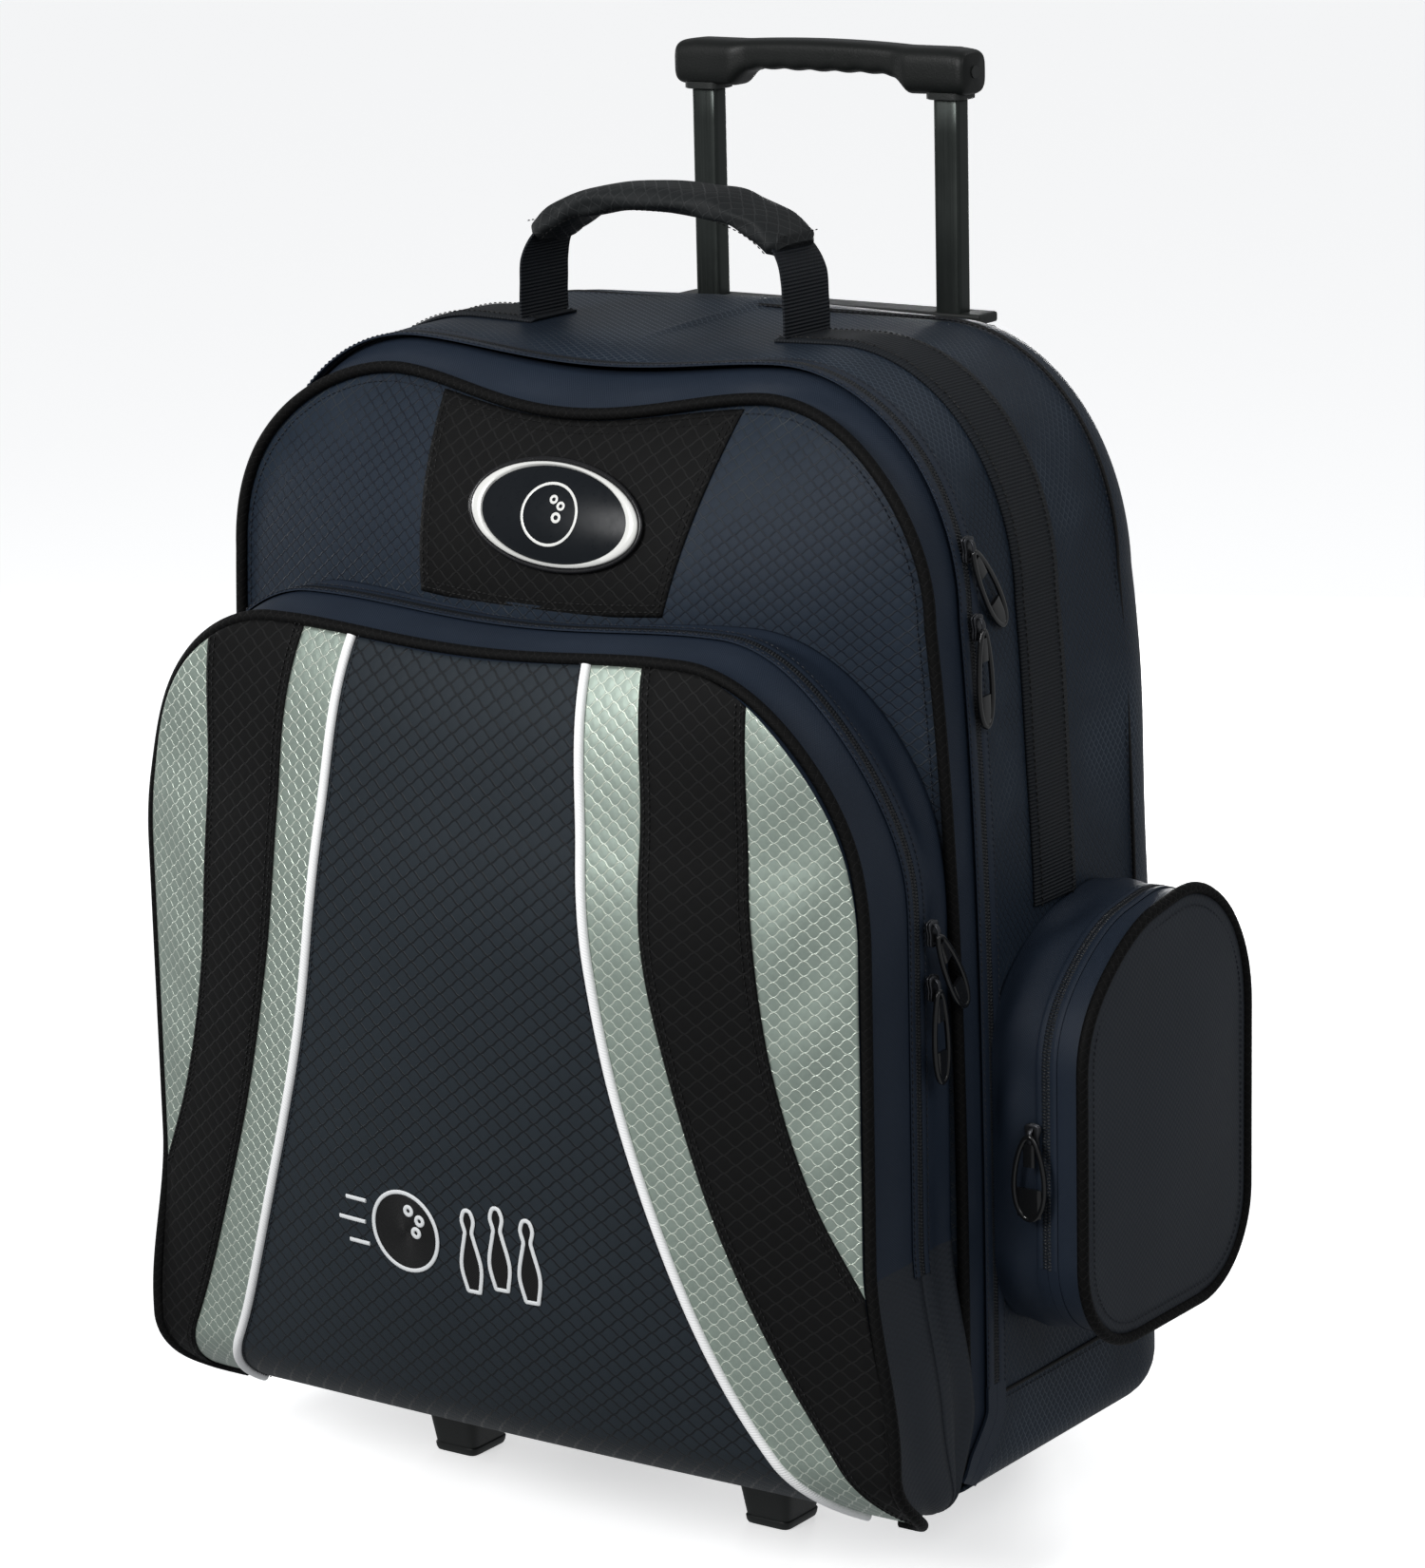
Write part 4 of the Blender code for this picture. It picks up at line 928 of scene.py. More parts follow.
class BAG_OT_shell(Operator):
    """Lined walls, top, back and bottom of the main compartment, with their seams"""
    bl_idname = "bag.shell"
    bl_label = "Main compartment"
    columns = 460

    def execute(self, context):
        sizes = context.scene.bag_sizes
        depths = np.concatenate([[0.0215, 0.0225], np.linspace(0.025, REAR_START, 38)])
        rows = shell_rows(depths, self.columns)
        last = rows[-1]
        x, z = last[:, 0], last[:, 2]
        share = (z - BASE_Z) / (FRONT_TOP_Z - BASE_Z)
        bends = []
        for turn in np.linspace(0.0, math.pi / 2.0, 22)[1:]:
            k = 1.0 - math.cos(turn)
            side_turn = 0.055 + 0.030 * share
            top_turn = 0.012 + 0.050 * (np.abs(x) / 0.22) ** 2
            bends.append(stack(x * (1.0 - k * side_turn / HALF_WIDTH),
                               REAR_START + (BODY_DEPTH - REAR_START) * math.sin(turn),
                               z - k * top_turn * share + k * 0.030 * (1.0 - share)))
        pole = np.array([0.0, BODY_DEPTH, 0.33])
        scales = np.linspace(1.0, 0.02, 26)[1:, None, None]
        wall = np.concatenate([rows, np.array(bends)])
        wall = wall + grid_normals(wall) * (sizes.pucker * shell_slack(wall))[..., None]
        wall[-1] = bends[-1]
        back = np.concatenate([wall[-1:], pole + (bends[-1] - pole) * scales])
        skin = Skin().grid(wall, around=True).face(back)
        piece("shell_cloth", skin, ("wall", "lining"), BODY, "navy_ripstop", ("main_shell",),
              core=(0.0, 0.11, 0.33), thick=sizes.wall, lining=1, cuts=self.cut_wells)
        self.seams(sizes)
        return {"FINISHED"}

    @staticmethod
    def cut_wells(shape):
        """Openings for the two wheel housings."""
        for sign, _ in SIDES:
            low = Vector((sign * WHEEL_X - 0.0190, 0.1705, -0.010)) + Vector(OFFSET)
            high = Vector((sign * WHEEL_X + 0.0190, 0.270, 0.0760)) + Vector(OFFSET)
            room = 0.012
            for axis, at in ((0, low.x), (0, high.x), (1, low.y), (2, high.z)):
                near = [f for f in shape.faces
                        if all(a - room < c < b + room for a, b, c in zip(low, high, f.calc_center_median()))]
                parts = {e for f in near for e in f.edges} | {v for f in near for v in f.verts} | set(near)
                normal = Vector(float(axis == k) for k in range(3))
                bmesh.ops.bisect_plane(shape, geom=list(parts), plane_co=normal * at, plane_no=normal)
            inside = [f for f in shape.faces
                      if all(a < c < b for a, b, c in zip(low, high, f.calc_center_median()))]
            bmesh.ops.delete(shape, geom=inside, context="FACES")

    @staticmethod
    def seams(sizes):
        """Welt and stitches where the bottom panel joins the walls, and along the rear edge."""
        thread = Skin()
        welt = Skin()
        ring = shell_rows([0.0215, *np.linspace(0.03, REAR_START, 30)], 920)
        for sign, _ in SIDES:
            away = np.abs(ring[:, :230, 2] - SEAM_Z) + (ring[:, :230, 0] < 0.15)
            line = ring[np.arange(len(ring)), np.argmin(away, axis=1)] * (sign, 1.0, 1.0)
            line[:, 2] = SEAM_Z
            out = (float(sign), 0.0, 0.0)
            welt.tube(even(line, 0.004) + (sign * 0.0004, 0.0, 0.0), circle(0.0011, 8, 0.8), (0.0, 0.0, 1.0))
            stitches(thread, line + (sign * 0.0006, 0.0, -0.0035), out, sizes.stitch)
        rear = ring[-1]
        up = rear[(rear[:, 2] > 0.30)]
        up = up[np.argsort(-np.arctan2(up[:, 0], up[:, 2] - 0.30))]
        radial = unit(up - (0.0, REAR_START, 0.33)) * (1.0, 0.0, 1.0)
        welt.tube(up + radial * 0.0004, circle(0.0010, 8), DEEP)
        stitches(thread, up + radial * 0.0007 - (0.0, 0.0035, 0.0), radial, sizes.stitch)
        piece("shell_seams", welt, ("binding",), BODY, "black_binding")
        piece("shell_stitches", thread, ("dark_thread",), BODY, "black_binding")


def zip_halves(name, path, side, bodies, sizes, tape=0.0085):
    """A closed zip along a path: two woven tapes and two rows of coils that mesh in the middle.

    side points from the first body's half to the second's, across the zip. Each half is a sweep whose
    height swells once a coil, out of step with the other half by half a pitch.
    """
    line = even(path, sizes.coil / 5.0)
    phase = np.arange(len(line)) / 5.0
    across = np.broadcast_to(side, line.shape)
    rough = even(path, 0.004)
    bead = np.array([(0.0, 0.0), (0.2, 0.9), (1.0, 1.2), (2.2, 1.0), (2.7, 0.2), (2.7, -0.5), (0.0, -0.5)])
    bead = bead * 0.001
    wide = tape * 1000.0
    hem = np.array([(2.4, 0.0), (2.4, 0.5), (4.0, 0.8), (wide - 0.8, 0.8), (wide, 0.2), (wide, -0.2),
                    (2.4, -0.2)])
    for sign, body, word in ((-1, bodies[0], "front"), (1, bodies[1], "rear")):
        beat = 0.5 + 0.5 * np.cos(TURN * (phase + (0.5 if sign > 0 else 0.0)))[:, None]
        out = sign * (bead[:, 0] - 0.00035 * beat * (bead[:, 0] < 0.0005))
        up = np.where(bead[:, 1] > 0.0, bead[:, 1] * (0.35 + 0.65 * beat), bead[:, 1])
        piece(name + "_coil_" + word, Skin().tube(line, stack(out, up), across), ("coil",), body, "zip_tape",
              sharp=75.0)
        strip = hem * 0.001 * (sign, 1.0) + (0.0, 0.00018)
        piece(name + "_tape_" + word, Skin().tube(rough, strip, side), ("gusset",), body, "zip_tape")


def navy_stitches(name, path, out, body, sizes, loop=False):
    """One row of navy thread as a piece of its own."""
    skin = Skin()
    stitches(skin, path, out, sizes.stitch, loop)
    piece(name, skin, ("dark_thread",), body, "black_binding")


class BAG_OT_flap(Operator):
    """Front door of the main compartment, its covered welt and the zip that closes it"""
    bl_idname = "bag.flap"
    bl_label = "Main flap"
    columns = 440

    def execute(self, context):
        sizes = context.scene.bag_sizes
        low = LIP_Z + 0.0005
        rim = full_ring(body_half(ZIP_Y, 0.0007, low), self.columns)
        edge = full_ring(body_half(0.0, POCKET_INSET, low), self.columns)
        back = at_depth(rim, zip_line(rim[:, 1]) - 0.0004)
        front = at_depth(edge, flap_surface(edge[:, 0], edge[:, 1]))
        strip = strip_between(back, front, 9)
        x, z = strip[..., 0], strip[..., 2]
        waves = ripples(x * 3.0 + z, z * 3.0 - x, 3, 7, 30.0, 60.0)
        swell = hump(span(9), 0.45)[:, None] * (0.8 + waves) * 0.0008
        strip = strip + grid_normals(strip) * swell[..., None]
        scales = np.linspace(1.0, 0.02, 78)
        x, z = np.moveaxis(drawn_in(edge, (0.0, 0.33), scales), -1, 0)
        face = stack(x, self.depth(x, z, scales[:, None]), z)
        face[0] = strip[-1]
        skin = Skin().grid(strip, around=True, part=1).face(face)
        piece("flap_cloth", skin, ("navy", "gusset", "lining", "lining"), FLAP, "navy_ripstop",
              ("flap_panel",), core=(0.0, 0.05, 0.33), thick=sizes.wall, lining=2)
        ring = full_ring(body_half(0.0, 0.0011, low), 700)
        inner = full_ring(body_half(0.0, POCKET_INSET, low), 700)
        path = at_depth(ring, flap_surface(inner[:, 0], inner[:, 1]) - 0.0016)
        welt = Skin().tube(path, circle(sizes.piping, 14), DEEP, True)
        piece("flap_welt", welt, ("welt",), FLAP, "black_ripstop", ("main_piping",))
        hem = on_face(flap_surface, full_ring(body_half(0.0, 0.0085, low), 600), 0.0004)
        navy_stitches("flap_edge_stitches", hem, face_normal(flap_surface, hem[:, 0], hem[:, 2]), FLAP,
                      sizes, True)
        self.main_zip(sizes)
        return {"FINISHED"}

    @staticmethod
    def depth(x, z, scale):
        """The flap's face with a little slack, and small puckers where it is gathered into the welt."""
        slack = 0.0010 * ripples(x, z, 8, 7, 12.0, 40.0) * ease((1.0 - scale) * 6.0)
        turn = np.arctan2(x, z - 0.33)
        gather = 0.00035 * np.sin(turn * 95.0 + 3.0 * np.sin(turn * 7.0)) * np.exp(-(1.0 - scale) * 26.0)
        return flap_surface(x, z) - slack + gather * (scale < 1.0)

    @staticmethod
    def main_zip(sizes):
        """The zip runs round the front of the walls and the top, and stops short of the base."""
        ring = full_ring(body_half(0.019), 1400)
        keep = ring[ring[:, 1] > 0.098]
        keep = keep[np.argsort(np.arctan2(keep[:, 0], keep[:, 1] - 0.30))]
        path = at_depth(keep, zip_line(keep[:, 1]) + 0.0022)
        path = even(path, 0.003)
        radial = unit(change(path))
        out = unit(np.cross(radial, DEEP))
        zip_halves("main_zip", path + out * 0.0008, DEEP, (FLAP, BODY), sizes)
        low = ring[(ring[:, 1] <= 0.0985) & (ring[:, 1] > 0.0500) & (ring[:, 0] > 0.2)]
        low = low[np.argsort(low[:, 1])]
        side = even(stack(low[:, 0] + 0.0004, zip_line(low[:, 1]) + 0.0022, low[:, 1]), 0.003)
        for word, body, edges in (("front", FLAP, (-0.0085, -0.0001)), ("rear", BODY, (0.0001, 0.0085))):
            cloth = Skin()
            for sign, _ in SIDES:
                strip = stack(np.array(edges)[[0, 1, 1, 0]], (0.0013, 0.0013, -0.0002, -0.0002))
                line = side[::int(-sign)] * (sign, 1.0, 1.0)
                cloth.tube(line, strip, DEEP)
            piece("zip_foot_cloth_" + word, cloth, ("gusset",), body, "zip_tape")
        for word, shift, body in (("front", -0.0078, FLAP), ("rear", 0.0080, BODY)):
            line = path + (0.0, shift, 0.0) + out * 0.0016
            navy_stitches(f"main_zip_{word}_stitches", line, out, body, sizes)


class BAG_OT_patch(Operator):
    """Black patch on the flap: a trapezoid with turned edges and two rows of stitches"""
    bl_idname = "bag.patch"
    bl_label = "Front patch"

    def execute(self, context):
        sizes = context.scene.bag_sizes
        s = span(52)[:, None]
        t = span(84, -1.0)[None, :]
        half = 0.0765 + 0.0175 * s
        x = self.middle(s) + half * t
        z = self.low(x) + (self.high(x) - self.low(x)) * s
        inset = np.minimum(np.minimum(s, 1.0 - s) * 0.10, (1.0 - np.abs(t)) * half)
        lift = 0.0010 + 0.0006 * ease(inset / 0.0015) - 0.0004 * np.exp(-((inset - 0.003) / 0.0012) ** 2)
        cloth = Skin().grid(on_face(flap_surface, stack(x, z), lift[..., None]), stack(x, z))
        piece("patch_cloth", cloth, ("black",), FLAP, "black_ripstop", ("front_patch",), core=(0.0, 0.1, 0.5),
              thick=0.0012)
        skin = Skin()
        for inset in (0.0028, 0.0062):
            s = np.linspace(inset, 0.098 - inset, 60) / 0.098
            half = 0.0765 + 0.0175 * s - inset
            left, right = self.middle(s) - half, self.middle(s) + half
            lines = [stack(x, self.low(x) + (self.high(x) - self.low(x)) * s) for x in (left, right)]
            for end, edge, move in ((0, self.low, inset), (-1, self.high, -inset)):
                x = np.linspace(left[end], right[end], 80)
                lines.append(stack(x, edge(x) + move))
            for line in lines:
                laid_stitches(skin, flap_surface, line, 0.0016, sizes.stitch)
        piece("patch_stitches", skin, ("thread",), FLAP, "black_binding")
        return {"FINISHED"}

    @staticmethod
    def middle(s):
        """The patch leans a little to the right on its way up."""
        return 0.0030 + 0.0080 * s

    @staticmethod
    def low(x):
        """Lower edge of the patch, which sags in its middle."""
        return 0.4978 - 0.0060 * parabola(x / 0.12) ** 2

    @staticmethod
    def high(x):
        """Upper edge of the patch, which sags with the flap's own edge."""
        return 0.5985 - 0.0125 * parabola(x / 0.12) ** 2


class BAG_OT_badge(Operator):
    """Oval badge: dark rim, white enamel ring and a glossy dome with a plain bowling ball on it"""
    bl_idname = "bag.badge"
    bl_label = "Badge"

    def execute(self, context):
        turn = round_turn(120)

        def tilted(x, z):
            """The badge is sewn on with its right end a little lower."""
            return stack(BADGE_X + x * 0.9969 + z * 0.0785, BADGE_Z + z * 0.9969 - x * 0.0785)

        def oval(half_x, half_z, height):
            return on_face(flap_surface, tilted(half_x * np.cos(turn), half_z * np.sin(turn)), height)

        rim = [oval(0.0535, 0.0260, h) for h in (0.0012, 0.0024)]
        rim += [oval(0.0550 - 0.0004 * k, 0.0270 - 0.0004 * k, h)
                for k, h in ((0, 0.0030), (0, 0.0040), (1, 0.0046), (3, 0.0048), (5, 0.0046), (6, 0.0040))]
        piece("badge_rim", Skin().solid(np.array(rim)), ("rim",), FLAP,
              "badge_rim", ("badge_plate",))
        ring = [oval(0.0524, 0.0244, 0.0036), oval(0.0524, 0.0244, 0.0047), oval(0.0514, 0.0240, 0.0056),
                oval(0.0475, 0.0231, 0.0060), oval(0.0460, 0.0228, 0.0054),
                oval(0.0456, 0.0226, 0.0036)]
        piece("badge_ring", Skin().solid(np.array(ring)), ("ring",), FLAP, "badge_rim")
        dome = [oval(0.0455 * s, 0.0225 * s, 0.0044 + 0.0036 * (1.0 - s ** 2.2))
                for s in (1.0, 0.98, 0.94, 0.88, 0.8, 0.7, 0.58, 0.44, 0.3, 0.15)]
        cap = Skin().grid(np.array(dome), around=True, caps=(False, True))
        piece("badge_dome_cap", cap, ("dome",), FLAP, "badge_dome", ("badge_dome",), core=(0.0, 0.1, BADGE_Z))
        emblem = Skin()
        for x, z, radius, width in ((0.0, 0.0, 0.0150, 0.00075), (0.0010, 0.0070, 0.0016, 0.0007),
                                    (0.0062, 0.0046, 0.0016, 0.0007), (0.0050, -0.0010, 0.0019, 0.0008)):
            flat = stack(x + radius * 1.12 * np.cos(turn), z + radius * 0.96 * np.sin(turn))
            reach = np.sqrt((flat[:, 0] / 0.0455) ** 2 + (flat[:, 1] / 0.0225) ** 2)
            height = 0.0045 + 0.0036 * (1.0 - reach ** 2.2)
            at = tilted(flat[:, 0], flat[:, 1])
            normal = face_normal(flap_surface, at[:, 0], at[:, 1])
            path = on_face(flap_surface, at) + normal * height[:, None]
            emblem.tube(path, rounded(0.0002, width, 3.0, 12), normal, True)
        piece("badge_emblem", emblem, ("ring",), FLAP, "badge_rim")
        return {"FINISHED"}


def zip_room(z):
    """Half of the room for the coils of the front zip; none below its ends."""
    return 0.00015 + 0.00225 * ease((z - FRONT_ZIP_Z) / 0.010)


def split_low(points, level):
    """The columns of a closed strip below a height, and the others; both keep the columns where they meet."""
    high = np.flatnonzero(points[0, :, 2] > level)
    first, last = high[0], high[-1]
    return np.concatenate([points[:, last:], points[:, :first + 1]], axis=1), points[:, first:last + 1]


def low_seams(name, points, level, body, sizes):
    """Stitches across a closed strip at a height, on both sides of the bag."""
    skin = Skin()
    high = np.flatnonzero(points[0, :, 2] > level)
    normals = grid_normals(points)
    for column, step in ((high[0], -1), (high[-1], 1)):
        for shift in (1, 3):
            at = column + step * shift
            stitches(skin, points[:, at] + normals[:, at] * 0.0003, normals[:, at], sizes.stitch)
    piece(name, skin, ("thread",), body, "black_binding")


class BAG_OT_front_gusset(Operator):
    """Side wall of the front pocket that is sewn to the flap, and the pocket's zip"""
    bl_idname = "bag.front_gusset"
    bl_label = "Front pocket side wall"

    def execute(self, context):
        sizes = context.scene.bag_sizes
        ring = full_ring(pocket_half(0.0020, 0.009), 520)
        x, z = ring[:, 0], ring[:, 1]
        rear = np.minimum(flap_surface(x, z) - 0.0004, flap_edge(z) - 0.0115)
        points = strip_between(stack(x, rear, z), stack(x, pocket_zip_line(z) + zip_room(z), z), 13)
        run = np.cumsum(np.linalg.norm(change(points[0], True), axis=1)) * 0.5
        waves = ripples(run[None, :] * 2.2, points[..., 1] * 0.7, 17, 8, 25.0, 75.0)
        swell = hump(np.linspace(1.0, 0.0, 13), 0.22)[:, None] * (0.0016 + 0.0015 * waves)
        points = points + grid_normals(points) * swell[..., None]
        low, high = split_low(points, LOW_PANEL_Z)
        skin = Skin().grid(high).grid(low, part=1)
        piece("pocket_rear_gusset", skin, ("gusset", "slate", "lining", "lining"), FLAP, "navy_ripstop",
              ("front_pocket_gusset",), core=(0.0, -0.04, 0.27), thick=0.0016, lining=2)
        low_seams("gusset_low_seams", points, LOW_PANEL_Z, FLAP, sizes)
        self.front_zip(sizes)
        return {"FINISHED"}

    @staticmethod
    def front_zip(sizes):
        """The zip runs over the top of the pocket and down both sides to the low panel."""
        ring = full_ring(pocket_half(0.0026, 0.0085), 1400)
        keep = ring[ring[:, 1] > FRONT_ZIP_Z]
        keep = keep[np.argsort(np.arctan2(keep[:, 0], keep[:, 1] - 0.26))]
        path = even(at_depth(keep, pocket_zip_line(keep[:, 1])), 0.003)
        out = unit(np.cross(unit(change(path)), DEEP))
        zip_halves("front_zip", path + out * 0.0007, DEEP, (LID, FLAP), sizes, 0.0070)
        for word, shift, body in (("rear", 0.0064, FLAP), ("front", -0.0064, LID)):
            line = path + (0.0, shift, 0.0) + out * 0.0017
            navy_stitches(f"front_zip_{word}_stitches", line, out, body, sizes)


def nearest(path, point):
    """Place in a path of its point nearest to another."""
    return int(np.argmin(np.linalg.norm(path - point, axis=1)))


def coons(first, second, rows, cols, top=None, bottom=None):
    """Patch between two curves of (x, z), first and second, that run from the top edge to the bottom.

    top and bottom are curves from the first to the second curve's ends; straight if left out. The patch is
    the sum of the two ruled surfaces less the bilinear one through the corners.
    """
    a, b = even_flat(first, count=rows), even_flat(second, count=rows)
    s = span(rows)[:, None, None]
    t = span(cols)[None, :, None]
    ruled = a[:, None] * (1.0 - t) + b[:, None] * t
    for curve, ends, share in ((top, (a[0], b[0]), 1.0 - s), (bottom, (a[-1], b[-1]), s)):
        if curve is not None:
            ruled = ruled + share * (even_flat(curve, count=cols)[None] - (ends[0] * (1.0 - t) + ends[1] * t))
    return ruled


class PocketFace:
    """Seam lines of the front pocket's face, as curves of (x, z) on its right half."""

    def __init__(self):
        self.edge = pocket_half(POCKET_INSET)
        self.cord = self.curve([(0.0745, 0.482), (0.0810, 0.410), (0.0890, 0.337), (0.1030, 0.263),
                                (0.1290, 0.183), (0.1590, 0.111), (0.1890, 0.060), (0.2000, 0.0426)])
        self.inner = self.curve([(0.1080, 0.484), (0.1140, 0.426), (0.1175, 0.350), (0.1290, 0.288),
                                 (0.1500, 0.215), (0.1800, 0.142), (0.2080, 0.087), (0.2310, 0.047)])
        self.outer = self.curve([(0.1705, 0.470), (0.1715, 0.410), (0.1745, 0.356), (0.1830, 0.290),
                                 (0.2010, 0.227), (0.2262, 0.174)])

    def curve(self, points):
        """A smooth curve whose ends are moved onto the pocket's edge."""
        points = [np.array(p) for p in points]
        for end in (0, -1):
            points[end] = self.edge[nearest(self.edge, points[end])]
        return spline(points, 120)

    def along_edge(self, start, end):
        """The pocket's own edge from one point of it to another."""
        i, j = nearest(self.edge, start), nearest(self.edge, end)
        return self.edge[i:j + 1] if i < j else self.edge[j:i + 1][::-1]


class BAG_OT_front_lid(Operator):
    """Front of the pocket: its side wall before the zip and its face of five panels"""
    bl_idname = "bag.front_lid"
    bl_label = "Front pocket lid"

    def execute(self, context):
        sizes = context.scene.bag_sizes
        seams = PocketFace()
        self.cup(sizes)
        self.panels(seams)
        self.pipings(seams, sizes)
        self.motif()
        return {"FINISHED"}

    @staticmethod
    def cup(sizes):
        """The lid's side wall before the zip, and the cloth under its panels."""
        rim = full_ring(pocket_half(0.0023, 0.0088), 420)
        edge = full_ring(pocket_half(POCKET_INSET), 420)
        back = stack(rim[:, 0], pocket_zip_line(rim[:, 1]) - zip_room(rim[:, 1]), rim[:, 1])
        front = at_depth(edge, pocket_surface(edge[:, 0], edge[:, 1]))
        strip = strip_between(back, front, 11)
        run = np.cumsum(np.linalg.norm(change(front, True), axis=1)) * 0.5
        waves = ripples(run[None, :] * 2.0, strip[..., 1] * 0.7, 23, 8, 25.0, 80.0)
        swell = hump(span(11), 0.22)[:, None] * (0.0016 + 0.0012 * waves)
        strip = strip + grid_normals(strip) * swell[..., None]
        x, z = np.moveaxis(drawn_in(edge, (0.0, 0.27), np.linspace(1.0, 0.03, 40)), -1, 0)
        face = stack(x, pocket_surface(x, z) + 0.0005, z)
        face[0] = strip[-1]
        low, high = split_low(strip, LOW_PANEL_Z)
        skin = Skin().grid(high).grid(low, part=1).face(face)
        piece("pocket_lid_cloth", skin, ("gusset", "slate", "lining", "lining"), LID, "navy_ripstop",
              ("front_pocket_face",), core=(0.0, -0.05, 0.27), thick=0.0020, lining=2)
        low_seams("lid_low_seams", strip, LOW_PANEL_Z, LID, sizes)

    @staticmethod
    def panels(seams):
        """Middle, silver, black band and silver, each between two seams and the pocket's edge."""
        panel = BAG_OT_front_lid.panel
        right = seams.along_edge(seams.cord[0], np.array([0.0, 0.48]))
        top = np.concatenate([right * (-1.0, 1.0), right[-2::-1]])
        middle = coons(seams.cord * (-1.0, 1.0), seams.cord, 220, 110, top)
        panel("pocket_middle", [middle], "charcoal", "charcoal_ripstop", 0.0004)
        top = seams.along_edge(seams.cord[0], seams.inner[0])
        foot = seams.along_edge(seams.cord[-1], seams.inner[-1])
        silver = coons(seams.cord, seams.inner, 220, 26, top, foot)
        side = seams.along_edge(seams.outer[0], seams.outer[-1])
        lens = coons(seams.outer, side, 180, 32)
        panel("pocket_silver", [silver, lens], "silver", "silver_ripstop", 0.0005, folds=0.0017)
        rest = seams.along_edge(seams.outer[-1], seams.inner[-1])
        right = np.concatenate([seams.outer, rest[1:]])
        band = coons(seams.inner, right, 240, 30, seams.along_edge(seams.inner[0], seams.outer[0]))
        panel("pocket_band", [band], "black", "black_ripstop", 0.0017, True)

    @staticmethod
    def panel(name, patches, finish, slot, lift, hemmed=False, folds=0.0):
        """Folds run from the upper outer corner to the lower inner one: waves of x - z, none at the seams."""
        skin = Skin()
        for patch in patches:
            rows, cols = patch.shape[:2]
            t = span(cols)
            s = span(rows)[:, None]
            x, z = patch[..., 0], patch[..., 1]
            wave = 0.5 + 0.5 * np.sin(TURN * (x - 0.8 * z) / 0.060 + 1.3 * ripples(x, z, 71, 4, 15.0, 30.0))
            slack = folds * wave * (4.0 * t * (1.0 - t)) ** 0.7 * (4.0 * s * (1.0 - s)) ** 0.5 * (cols > 30)
            inset = np.minimum(t, 1.0 - t) * 0.055
            hem = 0.0007 * np.exp(-((inset - 0.0040) / 0.0016) ** 2) + 0.0007 * (inset < 0.0005)
            raised = ((lift - hem * hemmed)[None, :] + slack)[..., None]
            for sign in ((1.0,) if name == "pocket_middle" else (-1.0, 1.0)):
                flat = patch * (sign, 1.0)
                skin.grid(on_face(pocket_surface, flat, raised), flat)
        piece(name, skin, (finish,), LID, slot, core=(0.0, 0.1, 0.27), thick=0.0010)

    @staticmethod
    def motif():
        """Embroidery: a ball with three finger holes, rolling towards three pins, in raised satin stitch.

        A pin's half width is a spline of its height: foot, belly, neck and head.
        """
        turn = round_turn(90)
        lines = [(stack(-0.030 + 0.0215 * np.cos(turn), 0.138 + 0.0215 * np.sin(turn)), True)]
        for x, z in ((-0.0265, 0.1500), (-0.0195, 0.1455), (-0.0225, 0.1385)):
            lines.append((stack(x + 0.0022 * np.cos(turn[::4]), z + 0.0022 * np.sin(turn[::4])), True))
        for z, start, end in ((0.150, -0.070, -0.0560), (0.138, -0.076, -0.0575), (0.126, -0.070, -0.0560)):
            lines.append((stack(np.linspace(start, end, 20), np.full(20, z)), False))
        side = spline([(0.0038, 0.0), (0.0062, 0.014), (0.0030, 0.029), (0.0022, 0.033), (0.0036, 0.039),
                       (0.0022, 0.0438), (0.0, 0.045)], 60)
        pin = np.concatenate([side, side[-2::-1] * (-1.0, 1.0)])
        pins = ((0.0120, 0.1120), (0.0300, 0.1160), (0.0480, 0.1120))
        lines += [(pin + place, True) for place in pins]
        skin = Skin()
        fill = Skin()
        disc = drawn_in(stack(0.0215 * np.cos(turn), 0.0215 * np.sin(turn)), 0.0, np.linspace(1.0, 0.03, 10))
        solids = [(disc + (-0.030, 0.138), True)]
        solids += [(strip_between(side, side * (-1.0, 1.0), 5) + place, False) for place in pins]
        for flat, closed in solids:
            laid = on_face(pocket_surface, flat + (0.0, MOTIF_RISE), 0.0008)
            fill.grid(laid, around=closed, caps=(False, closed))
        piece("pocket_motif_fill", fill, ("motif_black",), LID, "black_binding", core=(0.0, 0.1, 0.27),
              thick=0.0005)
        for flat, closed in lines:
            flat = flat + (0.0, MOTIF_RISE)
            flat = even_flat(flat, 0.0008, loop=closed)
            normal = face_normal(pocket_surface, flat[:, 0], flat[:, 1])
            path = on_face(pocket_surface, flat, 0.0010)
            skin.tube(path, rounded(0.0005, 0.00115, 2.5, 10), normal, closed)
        piece("pocket_motif", skin, ("motif",), LID, "white_cord")

